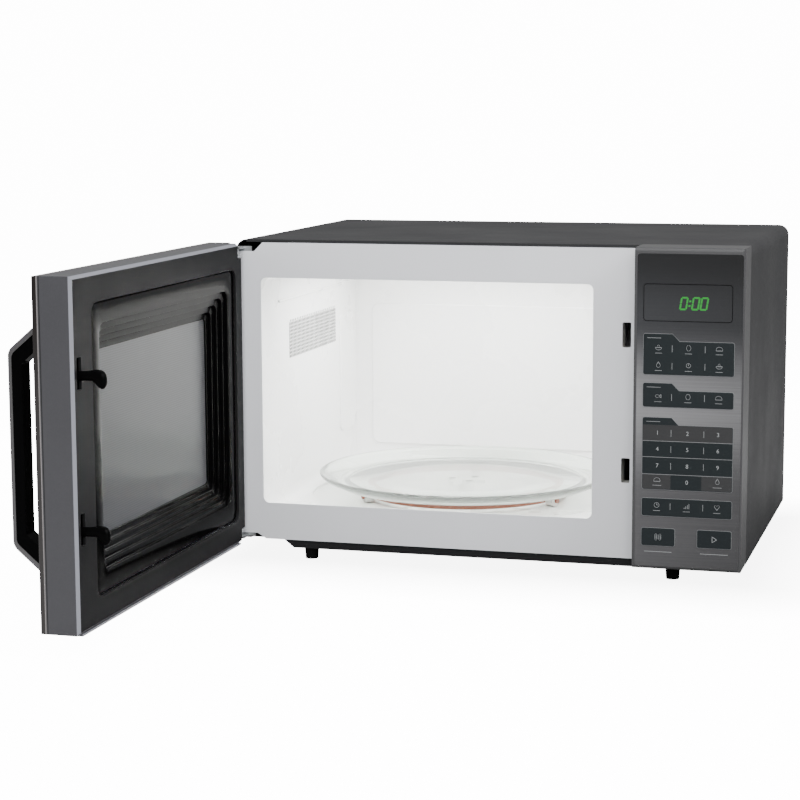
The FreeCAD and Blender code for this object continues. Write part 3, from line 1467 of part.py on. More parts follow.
build()
problems = faults()
if problems:
    raise RuntimeError("; ".join(problems))
os.makedirs("parts", exist_ok=True)
for name, item in NODES.items():
    item.Shape.exportStep(f"parts/{name}.step")
print(f"{len(NODES)} sub-parts written")
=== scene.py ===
"""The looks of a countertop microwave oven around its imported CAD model, laid out as a Blender add-on."""

import math

import bmesh
import bpy
from bpy.props import FloatProperty, FloatVectorProperty, IntProperty, PointerProperty
from mathutils import Matrix, Vector


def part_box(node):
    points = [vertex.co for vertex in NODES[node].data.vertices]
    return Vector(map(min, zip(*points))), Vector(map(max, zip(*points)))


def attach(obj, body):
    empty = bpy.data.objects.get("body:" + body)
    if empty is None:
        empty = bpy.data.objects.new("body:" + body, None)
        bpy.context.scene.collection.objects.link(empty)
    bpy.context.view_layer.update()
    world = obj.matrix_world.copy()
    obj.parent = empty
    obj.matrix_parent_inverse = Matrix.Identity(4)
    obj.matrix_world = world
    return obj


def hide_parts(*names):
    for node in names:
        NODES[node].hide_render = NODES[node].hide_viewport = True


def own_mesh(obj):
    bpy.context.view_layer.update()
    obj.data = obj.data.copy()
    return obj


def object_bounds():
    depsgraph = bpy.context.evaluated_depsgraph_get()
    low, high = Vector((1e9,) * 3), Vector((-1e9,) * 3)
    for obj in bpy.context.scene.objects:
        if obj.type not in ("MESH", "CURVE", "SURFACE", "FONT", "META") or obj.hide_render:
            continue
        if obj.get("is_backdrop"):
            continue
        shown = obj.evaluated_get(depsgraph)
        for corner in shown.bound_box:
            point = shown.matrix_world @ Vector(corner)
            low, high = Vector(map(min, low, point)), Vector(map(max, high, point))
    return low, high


bl_info = {
    "name": "Microwave Oven",
    "version": (1, 0, 0),
    "blender": (4, 5, 0),
    "location": "View3D > Sidebar > Oven",
    "description": "Finishes, key graphics, glass and mouldings of a countertop microwave oven",
    "category": "Object",
}

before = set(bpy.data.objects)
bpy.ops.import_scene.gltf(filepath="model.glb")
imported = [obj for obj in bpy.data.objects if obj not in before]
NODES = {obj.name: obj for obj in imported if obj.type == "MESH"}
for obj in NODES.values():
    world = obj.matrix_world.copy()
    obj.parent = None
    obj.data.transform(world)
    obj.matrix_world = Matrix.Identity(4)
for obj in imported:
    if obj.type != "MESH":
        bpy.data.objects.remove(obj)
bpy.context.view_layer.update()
MM = 0.001

FINISHES = {}
GROUPS = {}


# ---- the sizes and colours that a user would change ----


class OvenSizes(bpy.types.PropertyGroup):
    vent_columns: IntProperty(
        name="Vent columns", description="Holes along the cavity's side vent", default=36,
    )
    vent_rows: IntProperty(name="Vent rows", description="Holes up the cavity's side vent", default=10)
    vent_hole: FloatProperty(
        name="Vent hole", description="Radius of a vent hole", default=1.7 * MM, unit="LENGTH",
    )
    key_border: FloatProperty(
        name="Key border", description="Width of the pale line round a key pad",
        default=0.6 * MM, unit="LENGTH",
    )
    key_tab: FloatProperty(
        name="Key tab", description="Height of the tab over a key pad", default=7 * MM, unit="LENGTH",
    )
    print_width: FloatProperty(
        name="Print width", description="Width of a printed line", default=0.5 * MM, unit="LENGTH",
    )
    digit_height: FloatProperty(
        name="Digit height", description="Height of a display digit", default=11 * MM, unit="LENGTH",
    )
    step_run: FloatProperty(
        name="Step run", description="Width of one step round the door's pane",
        default=6.4 * MM, unit="LENGTH",
    )
    step_count: IntProperty(name="Steps", description="Steps round the door's pane", default=4)


def colour(name, description, value):
    return FloatVectorProperty(
        name=name, description=description, default=value, subtype="COLOR", size=3, min=0, max=1,
    )


class OvenColours(bpy.types.PropertyGroup):
    casing: colour("Casing", "Painted outer casing", (0.0225, 0.0228, 0.0243))
    front: colour("Front", "Painted plate round the opening", (0.66, 0.67, 0.70))
    cavity: colour("Cavity", "Enamel inside the oven", (0.91, 0.91, 0.90))
    door_side: colour("Door side", "Plastic band round the door", (0.048, 0.0478, 0.053))
    door_inside: colour("Door inside", "Inner frame of the door", (0.0125, 0.0125, 0.0132))
    panel_top: colour("Panel top", "Control panel's film at its top", (0.009, 0.0093, 0.0102))
    panel_middle: colour("Panel middle", "Control panel's film at its middle", (0.195, 0.195, 0.201))
    panel_bottom: colour("Panel bottom", "Control panel's film at its bottom", (0.076, 0.0755, 0.079))
    keys: colour("Keys", "Key pads", (0.007, 0.0105, 0.012))
    digits: colour("Digits", "Lit display digits", (0.0, 0.42, 0.02))


# ---- shader groups that several finishes share ----


def new_group(name, inputs, outputs):
    tree = bpy.data.node_groups.new(name, "ShaderNodeTree")
    for label, kind, value in inputs:
        socket = tree.interface.new_socket(label, in_out="INPUT", socket_type=kind)
        if value is not None:
            socket.default_value = value
    for label, kind in outputs:
        tree.interface.new_socket(label, in_out="OUTPUT", socket_type=kind)
    GROUPS[name] = tree
    return tree, tree.nodes.new("NodeGroupInput"), tree.nodes.new("NodeGroupOutput")


def math_node(tree, operation, first, second=None, third=None):
    node = tree.nodes.new("ShaderNodeMath")
    node.operation = operation
    for index, value in enumerate((first, second, third)):
        if value is None:
            continue
        if isinstance(value, (int, float)):
            node.inputs[index].default_value = value
        else:
            tree.links.new(value, node.inputs[index])
    return node.outputs[0]


def noise(tree, coordinates, scale, detail=3.0):
    node = tree.nodes.new("ShaderNodeTexNoise")
    node.inputs["Detail"].default_value = detail
    tree.links.new(coordinates, node.inputs["Vector"])
    if isinstance(scale, (int, float)):
        node.inputs["Scale"].default_value = scale
    else:
        tree.links.new(scale, node.inputs["Scale"])
    return node.outputs["Fac"]


def build_grain_group():
    """Fine moulded or painted grain, with slow patches of handling over it."""
    tree, given, out = new_group(
        "surface_grain",
        [("Vector", "NodeSocketVector", None), ("Grain Scale", "NodeSocketFloat", 900.0),
         ("Patch Scale", "NodeSocketFloat", 9.0)],
        [("Grain", "NodeSocketFloat"), ("Patches", "NodeSocketFloat"), ("Height", "NodeSocketFloat")],
    )
    grain = noise(tree, given.outputs["Vector"], given.outputs["Grain Scale"], 2.0)
    patches = noise(tree, given.outputs["Vector"], given.outputs["Patch Scale"], 4.0)
    height = math_node(tree, "MULTIPLY_ADD", patches, 0.25, grain)
    tree.links.new(grain, out.inputs["Grain"])
    tree.links.new(patches, out.inputs["Patches"])
    tree.links.new(height, out.inputs["Height"])


def build_brush_group():
    """Long fine scratches along one axis, as on brushed or rolled sheet."""
    tree, given, out = new_group(
        "brushed_lines",
        [("Vector", "NodeSocketVector", None), ("Stretch", "NodeSocketVector", (900.0, 12.0, 900.0))],
        [("Lines", "NodeSocketFloat")],
    )
    stretch = tree.nodes.new("ShaderNodeVectorMath")
    stretch.operation = "MULTIPLY"
    tree.links.new(given.outputs["Vector"], stretch.inputs[0])
    tree.links.new(given.outputs["Stretch"], stretch.inputs[1])
    tree.links.new(noise(tree, stretch.outputs[0], 1.0, 3.0), out.inputs["Lines"])


def build_dots_group():
    """A staggered grid of round holes over the Y and Z of the coordinates."""
    tree, given, out = new_group(
        "round_holes",
        [("Vector", "NodeSocketVector", None), ("Pitch", "NodeSocketFloat", 0.0022),
         ("Hole", "NodeSocketFloat", 0.3)],
        [("Holes", "NodeSocketFloat")],
    )
    split = tree.nodes.new("ShaderNodeSeparateXYZ")
    tree.links.new(given.outputs["Vector"], split.inputs[0])
    pitch = given.outputs["Pitch"]
    across = math_node(tree, "DIVIDE", split.outputs["Y"], pitch)
    up = math_node(tree, "DIVIDE", split.outputs["Z"], pitch)
    row = math_node(tree, "FLOOR", up)
    shift = math_node(tree, "MULTIPLY", math_node(tree, "PINGPONG", row, 1.0), 0.5)
    local_x = math_node(
        tree, "SUBTRACT", math_node(tree, "FRACT", math_node(tree, "ADD", across, shift)), 0.5,
    )
    local_y = math_node(tree, "SUBTRACT", math_node(tree, "FRACT", up), 0.5)
    square = math_node(
        tree, "MULTIPLY_ADD", local_x, local_x, math_node(tree, "MULTIPLY", local_y, local_y),
    )
    distance = math_node(tree, "SQRT", square)
    edge = tree.nodes.new("ShaderNodeMapRange")
    tree.links.new(distance, edge.inputs["Value"])
    tree.links.new(given.outputs["Hole"], edge.inputs["From Min"])
    tree.links.new(math_node(tree, "ADD", given.outputs["Hole"], 0.08), edge.inputs["From Max"])
    edge.inputs["To Min"].default_value = 1.0
    edge.inputs["To Max"].default_value = 0.0
    tree.links.new(edge.outputs["Result"], out.inputs["Holes"])


# ---- finishes ----


def mix_colour(tree, factor, first, second):
    node = tree.nodes.new("ShaderNodeMix")
    node.data_type = "RGBA"
    tree.links.new(factor, node.inputs["Factor"])
    for socket, value in ((node.inputs[6], first), (node.inputs[7], second)):
        if isinstance(value, bpy.types.NodeSocket):
            tree.links.new(value, socket)
        else:
            socket.default_value = (*value, 1.0)
    return node.outputs[2]


def share_between(tree, value, low, high, first=0.0, last=1.0):
    """A place between two ends, as a share that runs from first to last."""
    node = tree.nodes.new("ShaderNodeMapRange")
    for label, number in (("From Min", low), ("From Max", high), ("To Min", first), ("To Max", last)):
        node.inputs[label].default_value = number
    tree.links.new(value, node.inputs["Value"])
    return node.outputs["Result"]


def spread(tree, pattern, low, high):
    """A pattern's usual range of shades turned into a range of values."""
    return share_between(tree, pattern, 0.3, 0.7, low, high)


def start_finish(name, **sockets):
    """A new material with its shader, its coordinates and the settings that are the same all over."""
    material = bpy.data.materials.new(name)
    material.use_nodes = True
    tree = material.node_tree
    shader = next(node for node in tree.nodes if node.type == "BSDF_PRINCIPLED")
    for label, value in sockets.items():
        shader.inputs[label.replace("_", " ")].default_value = value
    place = tree.nodes.new("ShaderNodeTexCoord")
    FINISHES[name] = material
    return tree, shader, place


def use_group(tree, name, coordinates, **sockets):
    node = tree.nodes.new("ShaderNodeGroup")
    node.node_tree = GROUPS[name]
    tree.links.new(coordinates, node.inputs["Vector"])
    for label, value in sockets.items():
        node.inputs[label.replace("_", " ")].default_value = value
    return node


def roughen(tree, shader, height, strength, distance=0.0002):
    bump = tree.nodes.new("ShaderNodeBump")
    bump.inputs["Strength"].default_value = strength
    bump.inputs["Distance"].default_value = distance
    tree.links.new(height, bump.inputs["Height"])
    tree.links.new(bump.outputs["Normal"], shader.inputs["Normal"])


def grained(name, base, rough, vary=0.12, grain=900.0, bump=0.15, **sockets):
    """Paint, moulded plastic or rubber: a fine grain, and a slow change of shade and gloss."""
    tree, shader, place = start_finish(name, **sockets)
    pattern = use_group(tree, "surface_grain", place.outputs["Object"], Grain_Scale=grain)
    dark = tuple(channel * (1 - vary) for channel in base)
    light = tuple(min(1.0, channel * (1 + vary)) for channel in base)
    shade = math_node(tree, "MULTIPLY_ADD", pattern.outputs["Grain"], 0.5, math_node(
        tree, "MULTIPLY", pattern.outputs["Patches"], 0.5))
    tree.links.new(
        mix_colour(tree, spread(tree, shade, 0.0, 1.0), dark, light), shader.inputs["Base Color"],
    )
    rough_value = spread(tree, pattern.outputs["Patches"], rough * 0.88, rough * 1.12)
    tree.links.new(rough_value, shader.inputs["Roughness"])
    roughen(tree, shader, pattern.outputs["Height"], bump)
    return tree, shader, place


def brushed(name, base, rough, stretch=(900.0, 12.0, 900.0), **sockets):
    """Bare sheet metal with rolling marks."""
    tree, shader, place = start_finish(name, **sockets)
    lines = use_group(tree, "brushed_lines", place.outputs["Object"], Stretch=stretch)
    pattern = use_group(tree, "surface_grain", place.outputs["Object"], Grain_Scale=300.0)
    dark = tuple(channel * 0.8 for channel in base)
    tree.links.new(mix_colour(tree, lines.outputs["Lines"], dark, base), shader.inputs["Base Color"])
    tree.links.new(
        spread(tree, pattern.outputs["Patches"], rough * 0.8, rough * 1.25), shader.inputs["Roughness"],
    )
    roughen(tree, shader, lines.outputs["Lines"], 0.1)


def glassy(name, tint, edge, rough=0.03, clear=1.0):
    """Glass with a faint change of tint, as pressed glass has; clear is how little it scatters."""
    tree, shader, place = start_finish(name, Transmission_Weight=clear)
    pattern = use_group(tree, "surface_grain", place.outputs["Object"], Grain_Scale=60.0)
    tree.links.new(mix_colour(tree, pattern.outputs["Patches"], tint, edge), shader.inputs["Base Color"])
    tree.links.new(
        spread(tree, pattern.outputs["Patches"], rough * 0.5, rough * 1.5), shader.inputs["Roughness"],
    )


def object_axes(tree, place, output="Object"):
    split = tree.nodes.new("ShaderNodeSeparateXYZ")
    tree.links.new(place.outputs[output], split.inputs[0])
    return split.outputs


def make_fascia_finish(colours):
    """The printed film: dark at the top, a pale band in the middle, mid grey below, darker to the right."""
    tree, shader, place = start_finish("fascia_film", Specular_IOR_Level=0.2)
    low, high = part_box("control_fascia")
    axes = object_axes(tree, place)
    ramp = tree.nodes.new("ShaderNodeValToRGB")
    ramp.color_ramp.interpolation = "EASE"
    stops = ramp.color_ramp.elements
    stops[0].color = (*colours.panel_bottom, 1)
    stops[1].color = (*colours.panel_top, 1)
    dusk = tuple(channel * 3.3 for channel in colours.panel_top)
    for at, shade in ((0.22, colours.panel_bottom), (0.52, colours.panel_middle), (0.79, dusk)):
        stops.new(at).color = (*shade, 1)
    tree.links.new(share_between(tree, axes["Z"], low.z, high.z), ramp.inputs["Fac"])
    lines = use_group(tree, "brushed_lines", place.outputs["Object"], Stretch=(10.0, 900.0, 1500.0))
    streaks = spread(tree, lines.outputs["Lines"], 0.0, 0.14)
    across = share_between(tree, axes["X"], low.x, high.x, 0.0, 0.34)
    darker = mix_colour(
        tree, math_node(tree, "ADD", streaks, across), ramp.outputs["Color"], (0.0, 0.0, 0.0),
    )
    tree.links.new(darker, shader.inputs["Base Color"])
    tree.links.new(spread(tree, lines.outputs["Lines"], 0.30, 0.42), shader.inputs["Roughness"])
    roughen(tree, shader, lines.outputs["Lines"], 0.05)


def make_door_side_finish(colours):
    """Grey moulding with a bright painted highlight on its bevelled inner edge, and a bright painted
    highlight line and a dark painted groove shade at its front edge.
    """
    tree, shader, place = grained(
        "door_side_band", colours.door_side, 0.38, grain=1400.0, bump=0.08, Specular_IOR_Level=0.3,
    )
    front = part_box("door_surround")[0].x
    level = object_axes(tree, place)["X"]
    facing = object_axes(tree, place, "Normal")["X"]
    # Painted highlight: faces turned like the inner bevel are coloured a bright bluish grey.
    bevel = math_node(tree, "COMPARE", facing, 0.65, 0.25)
    # Painted highlight: a bright line along the very front edge of the band.
    rim = math_node(tree, "COMPARE", level, front + 0.5 * MM, 0.5 * MM)
    # Painted shade: a near-black line a little behind the front edge, where a groove's shade would fall.
    groove = math_node(tree, "COMPARE", level, front + 2.4 * MM, 0.4 * MM)
    shade = mix_colour(
        tree, groove, shader.inputs["Base Color"].links[0].from_socket, (0.006, 0.006, 0.006),
    )
    shade = mix_colour(tree, rim, shade, (0.20, 0.185, 0.185))
    tree.links.new(mix_colour(tree, bevel, shade, (0.20, 0.205, 0.235)), shader.inputs["Base Color"])


def make_pane_finish():
    """Dark glass over a perforated shielding sheet."""
    tree, shader, place = start_finish(
        "shielded_pane", Roughness=0.2, Coat_Weight=0.08, Coat_Roughness=0.04, Specular_IOR_Level=0.07,
    )
    dots = use_group(tree, "round_holes", place.outputs["Object"], Pitch=0.0021, Hole=0.33)
    pattern = use_group(tree, "surface_grain", place.outputs["Object"], Grain_Scale=40.0, Patch_Scale=5.0)
    sheet = mix_colour(tree, pattern.outputs["Patches"], (0.050, 0.051, 0.055), (0.058, 0.059, 0.063))
    tree.links.new(
        mix_colour(tree, dots.outputs["Holes"], sheet, (0.043, 0.044, 0.047)), shader.inputs["Base Color"],
    )


def make_digit_finish(colours):
    """Lit segments, a little uneven along their length."""
    unlit = tuple(channel * 0.1 for channel in colours.digits)
    tree, shader, place = start_finish(
        "lit_digits", Base_Color=(*unlit, 1), Roughness=0.4, Emission_Strength=0.85,
    )
    pattern = use_group(tree, "surface_grain", place.outputs["Object"], Grain_Scale=700.0)
    dim = tuple(channel * 0.8 for channel in colours.digits)
    glow = mix_colour(tree, pattern.outputs["Patches"], dim, tuple(colours.digits))
    tree.links.new(glow, shader.inputs["Emission Color"])


def make_finishes(colours):
    build_grain_group()
    build_brush_group()
    build_dots_group()
    grained("casing_paint", colours.casing, 0.46, grain=1200.0, bump=0.25, Specular_IOR_Level=0.08)
    grained("front_paint", colours.front, 0.5, vary=0.03, grain=1200.0, bump=0.1)
    grained("cavity_enamel", colours.cavity, 0.28, vary=0.02, grain=160.0, bump=0.06, Coat_Weight=0.3)
    grained(
        "door_inside_plastic", colours.door_inside, 0.42, grain=1500.0, bump=0.12, Specular_IOR_Level=0.02,
    )
    grained(
        "housing_plastic", (0.042, 0.042, 0.044), 0.4, vary=0.05,
        grain=1500.0, bump=0.08, Specular_IOR_Level=0.3,
    )
    grained(
        "black_gloss", (0.0015, 0.0015, 0.0016), 0.12, vary=0.2,
        grain=300.0, bump=0.02, Specular_IOR_Level=0.02,
    )
    grained(
        "door_face_gloss", (0.008, 0.0055, 0.005), 0.12, vary=0.2, grain=300.0, bump=0.02, Coat_Weight=0.5,
    )
    grained("handle_silver", (0.12, 0.117, 0.119), 0.33, vary=0.05, grain=1600.0, bump=0.06, Metallic=0.75)
    grained("key_pad", colours.keys, 0.36, vary=0.1, grain=1500.0, bump=0.06, Specular_IOR_Level=0.2)
    grained(
        "key_pad_pale", (0.0265, 0.0268, 0.0278), 0.36, vary=0.08,
        grain=1500.0, bump=0.06, Specular_IOR_Level=0.2,
    )
    grained("key_line", (0.15, 0.155, 0.16), 0.4, vary=0.06, grain=1500.0, bump=0.05)
    grained("key_print", (0.24, 0.25, 0.255), 0.5, vary=0.05, grain=1500.0, bump=0.03)
    grained(
        "foot_rubber", (0.004, 0.004, 0.004), 0.75, vary=0.3, grain=500.0, bump=0.4, Specular_IOR_Level=0.1,
    )
    grained(
        "hole_shadow", (0.002, 0.002, 0.002), 0.9, vary=0.3, grain=900.0, bump=0.1, Specular_IOR_Level=0.05,
    )
    grained("white_moulding", (0.72, 0.72, 0.69), 0.42, vary=0.04, grain=900.0, bump=0.12)
    grained("dark_moulding", (0.035, 0.035, 0.037), 0.45, vary=0.15, grain=900.0, bump=0.18)
    grained("brown_moulding", (0.26, 0.085, 0.05), 0.4, vary=0.1, grain=700.0, bump=0.12)
    grained("mica_sheet", (0.62, 0.57, 0.46), 0.5, vary=0.15, grain=120.0, bump=0.3)
    grained("board_lacquer", (0.03, 0.15, 0.06), 0.3, vary=0.2, grain=400.0, bump=0.15, Coat_Weight=0.5)
    grained("ferrite", (0.03, 0.03, 0.032), 0.7, vary=0.2, grain=300.0, bump=0.4)
    grained("ceramic_body", (0.75, 0.72, 0.64), 0.55, vary=0.05, grain=400.0, bump=0.2)
    brushed("zinc_sheet", (0.58, 0.60, 0.61), 0.36, Metallic=0.9)
    brushed("bare_aluminium", (0.74, 0.75, 0.76), 0.3, Metallic=1.0)
    brushed("screw_steel", (0.45, 0.45, 0.46), 0.32, stretch=(600.0, 600.0, 600.0), Metallic=1.0)
    brushed("copper_winding", (0.62, 0.24, 0.10), 0.28, stretch=(14.0, 14.0, 1800.0), Metallic=0.8)
    brushed("laminated_core", (0.30, 0.30, 0.31), 0.45, stretch=(1500.0, 2600.0, 20.0), Metallic=0.9)
    glassy("plate_glass", (0.95, 0.985, 0.95), (0.88, 0.95, 0.88), clear=0.93)
    glassy("bulb_glass", (0.98, 0.98, 0.97), (0.94, 0.95, 0.94))
    grained("window_glass", (0.008, 0.008, 0.009), 0.06, vary=0.3, grain=200.0, bump=0.01, Coat_Weight=1.0)
    make_fascia_finish(colours)
    make_door_side_finish(colours)
    make_pane_finish()
    make_digit_finish(colours)


def finish_nodes(finish, *names):
    """Give carried-over CAD pieces their finish."""
    for name in names:
        mesh = NODES[name].data
        mesh.materials.clear()
        mesh.materials.append(FINISHES[finish])


# ---- mesh helpers ----


def add_piece(name, points, faces, finish, body, slot, smooth=None, replaced=()):
    """A mesh whose place is in its points, riding on a CAD body."""
    mesh = bpy.data.meshes.new(name)
    mesh.from_pydata([tuple(point) for point in points], [], faces)
    mesh.update()
    return dress_piece(name, mesh, finish, body, smooth, replaced)


def dress_piece(name, mesh, finish, body, smooth=None, replaced=()):
    piece = bpy.data.objects.new(name, mesh)
    bpy.context.scene.collection.objects.link(piece)
    mesh.materials.clear()
    mesh.materials.append(FINISHES[finish])
    if smooth is not None:
        mesh.shade_smooth()
        mesh.set_sharp_from_angle(angle=math.radians(smooth))
    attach(piece, body)
    if replaced:
        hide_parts(*replaced)
    return piece


def face_outwards(piece):
    """Turn a closed shell's faces outwards."""
    work = bmesh.new()
    work.from_mesh(piece.data)
    bmesh.ops.remove_doubles(work, verts=work.verts, dist=1e-7)
    bmesh.ops.recalc_face_normals(work, faces=work.faces)
    work.to_mesh(piece.data)
    work.free()


def soften(piece, width, segments=2):
    bevel = piece.modifiers.new("softened edges", "BEVEL")
    bevel.width = width
    bevel.segments = segments
    bevel.limit_method = "ANGLE"
    bevel.angle_limit = math.radians(35)


def island_boxes(node):
    """The box of each separate solid of a CAD node."""
    work = bmesh.new()
    work.from_mesh(NODES[node].data)
    bmesh.ops.remove_doubles(work, verts=work.verts, dist=1e-6)
    boxes = []
    unseen = set(work.verts)
    while unseen:
        reached = [unseen.pop()]
        points = []
        while reached:
            vertex = reached.pop()
            points.append(vertex.co.copy())
            for edge in vertex.link_edges:
                other = edge.other_vert(vertex)
                if other in unseen:
                    unseen.remove(other)
                    reached.append(other)
        low = Vector(min(point[axis] for point in points) for axis in range(3))
        high = Vector(max(point[axis] for point in points) for axis in range(3))
        boxes.append((low, high))
    work.free()
    return sorted(boxes, key=lambda box: (-round(box[1].z, 3), box[0].x))


def rounded_loop(x0, y0, x1, y1, radius, segments=6):
    """The points round a rectangle with rounded corners, anticlockwise."""
    corners = [(x1 - radius, y0 + radius, -90), (x1 - radius, y1 - radius, 0),
               (x0 + radius, y1 - radius, 90), (x0 + radius, y0 + radius, 180)]
    points = []
    for cx, cy, start in corners:
        for step in range(segments + 1):
            angle = math.radians(start + 90 * step / segments)
            points.append((cx + radius * math.cos(angle), cy + radius * math.sin(angle)))
    return points


def ring_faces(loops, points_per_loop, closed):
    faces = []
    for loop in range(loops if closed else loops - 1):
        here = loop * points_per_loop
        there = (loop + 1) % loops * points_per_loop
        for index in range(points_per_loop):
            after = (index + 1) % points_per_loop
            faces.append((here + index, here + after, there + after, there + index))
    return faces


def slab(outline, place, low, high):
    """A plate over an outline: its points and faces, with place(x, y, depth) giving each point."""
    count = len(outline)
    points = [place(x, y, depth) for depth in (low, high) for x, y in outline]
    faces = ring_faces(2, count, False)
    faces.append(tuple(reversed(range(count))))
    faces.append(tuple(range(count, 2 * count)))
    return points, faces


def on_wall(y, z, depth):
    """The place of a point on a wall that faces sideways."""
    return (depth, y, z)


def on_back(x, z, depth):
    """The place of a point on a wall that faces the front."""
    return (x, depth, z)


def gather(parts):
    """Several (points, faces) pairs as one."""
    points, faces = [], []
    for part_points, part_faces in parts:
        start = len(points)
        points += part_points
        faces += [tuple(start + index for index in face) for face in part_faces]
    return points, faces


def stroke(line, width, closed=False):
    """The outline strips of a printed line, one four-cornered piece for each run."""
    count = len(line)
    pieces = []
    for index in range(count if closed else count - 1):
        (ax, ay), (bx, by) = line[index], line[(index + 1) % count]
        length = math.hypot(bx - ax, by - ay)
        if length < 1e-9:
            continue
        ux, uy = (bx - ax) / length * width / 2, (by - ay) / length * width / 2
        pieces.append([
            (ax - ux + uy, ay - uy - ux), (bx + ux + uy, by + uy - ux),
            (bx + ux - uy, by + uy + ux), (ax - ux - uy, ay - uy + ux),
        ])
    return pieces


def arc(cx, cy, radius, start, end, steps=10, squash=1.0):
    points = []
    for step in range(steps + 1):
        angle = math.radians(start + (end - start) * step / steps)
        points.append((cx + radius * math.cos(angle), cy + radius * squash * math.sin(angle)))
    return points


def turned(profile, centre, segments):
    """A profile of (radius, height) turned about an upright axis, closed on itself."""
    points = []
    for step in range(segments):
        angle = 2 * math.pi * step / segments
        for radius, height in profile:
            x, y = centre.x + radius * math.cos(angle), centre.y + radius * math.sin(angle)
            points.append((x, y, height))
    return points, ring_faces(segments, len(profile), True)


# ---- geometry nodes ----


def node_tree(name, inputs):
    tree = bpy.data.node_groups.new(name, "GeometryNodeTree")
    tree.interface.new_socket("Geometry", in_out="INPUT", socket_type="NodeSocketGeometry")
    for label, kind in inputs:
        tree.interface.new_socket(label, in_out="INPUT", socket_type=kind)
    tree.interface.new_socket("Geometry", in_out="OUTPUT", socket_type="NodeSocketGeometry")
    return tree, tree.nodes.new("NodeGroupInput"), tree.nodes.new("NodeGroupOutput")


def end_tree(tree, geometry, given, out):
    realize = tree.nodes.new("GeometryNodeRealizeInstances")
    coat = tree.nodes.new("GeometryNodeSetMaterial")
    tree.links.new(geometry, realize.inputs["Geometry"])
    tree.links.new(realize.outputs["Geometry"], coat.inputs["Geometry"])
    tree.links.new(given.outputs["Material"], coat.inputs["Material"])
    tree.links.new(coat.outputs["Geometry"], out.inputs["Geometry"])


def grow(name, mesh, tree, values):
    """Run a tree on a seed mesh and return the plain mesh that it makes."""
    seed = bpy.data.objects.new(name + "_seed", mesh)
    bpy.context.scene.collection.objects.link(seed)
    modifier = seed.modifiers.new(name, "NODES")
    modifier.node_group = tree
    sockets = {item.name: item.identifier for item in tree.interface.items_tree if item.in_out == "INPUT"}
    for label, value in values.items():
        modifier[sockets[label]] = value
    bpy.context.view_layer.update()
    evaluated = seed.evaluated_get(bpy.context.evaluated_depsgraph_get())
    result = bpy.data.meshes.new_from_object(evaluated)
    result.name = name
    seed.modifiers.clear()
    bpy.data.objects.remove(seed)
    return result


def build_grid_tree():
    """The seed mesh repeated over a flat grid, then turned and moved to its wall."""
    tree, given, out = node_tree("repeat_over_wall", [
        ("Columns", "NodeSocketInt"), ("Rows", "NodeSocketInt"), ("Width", "NodeSocketFloat"),
        ("Height", "NodeSocketFloat"), ("Turn", "NodeSocketRotation"), ("Place", "NodeSocketVector"),
        ("Material", "NodeSocketMaterial"),
    ])
    grid = tree.nodes.new("GeometryNodeMeshGrid")
    pairs = (("Columns", "Vertices X"), ("Rows", "Vertices Y"), ("Width", "Size X"), ("Height", "Size Y"))
    for label, socket in pairs:
        tree.links.new(given.outputs[label], grid.inputs[socket])
    copies = tree.nodes.new("GeometryNodeInstanceOnPoints")
    tree.links.new(grid.outputs["Mesh"], copies.inputs["Points"])
    tree.links.new(given.outputs["Geometry"], copies.inputs["Instance"])
    move = tree.nodes.new("GeometryNodeTransform")
    tree.links.new(copies.outputs["Instances"], move.inputs["Geometry"])
    tree.links.new(given.outputs["Turn"], move.inputs["Rotation"])
    tree.links.new(given.outputs["Place"], move.inputs["Translation"])
    end_tree(tree, move.outputs["Geometry"], given, out)
    return tree


def build_screw_tree():
    """A cross-recessed pan head on every point of the seed mesh, its head towards +Y."""
    tree, given, out = node_tree("screw_heads", [
        ("Head Radius", "NodeSocketFloat"),
        ("Head Height", "NodeSocketFloat"), ("Recess", "NodeSocketFloat"),
        ("Material", "NodeSocketMaterial"),
    ])
    head = tree.nodes.new("GeometryNodeMeshCylinder")
    head.inputs["Vertices"].default_value = 24
    tree.links.new(given.outputs["Head Radius"], head.inputs["Radius"])
    tree.links.new(given.outputs["Head Height"], head.inputs["Depth"])
    cut = tree.nodes.new("GeometryNodeMeshBoolean")
    cut.operation = "DIFFERENCE"
    tree.links.new(head.outputs["Mesh"], cut.inputs["Mesh 1"])
    length = math_node(tree, "MULTIPLY", given.outputs["Head Radius"], 1.25)
    for across in (True, False):
        size = tree.nodes.new("ShaderNodeCombineXYZ")
        tree.links.new(length, size.inputs["X" if across else "Y"])
        tree.links.new(given.outputs["Recess"], size.inputs["Y" if across else "X"])
        tree.links.new(given.outputs["Head Height"], size.inputs["Z"])
        bar = tree.nodes.new("GeometryNodeMeshCube")
        tree.links.new(size.outputs["Vector"], bar.inputs["Size"])
        lift = tree.nodes.new("GeometryNodeTransform")
        rise = tree.nodes.new("ShaderNodeCombineXYZ")
        tree.links.new(math_node(tree, "MULTIPLY", given.outputs["Head Height"], 0.5), rise.inputs["Z"])
        tree.links.new(bar.outputs["Mesh"], lift.inputs["Geometry"])
        tree.links.new(rise.outputs["Vector"], lift.inputs["Translation"])
        tree.links.new(lift.outputs["Geometry"], cut.inputs["Mesh 2"])
    copies = tree.nodes.new("GeometryNodeInstanceOnPoints")
    copies.inputs["Rotation"].default_value = (-math.pi / 2, 0, 0)
    tree.links.new(given.outputs["Geometry"], copies.inputs["Points"])
    tree.links.new(cut.outputs["Mesh"], copies.inputs["Instance"])
    end_tree(tree, copies.outputs["Instances"], given, out)
    return tree


# ---- casing ----


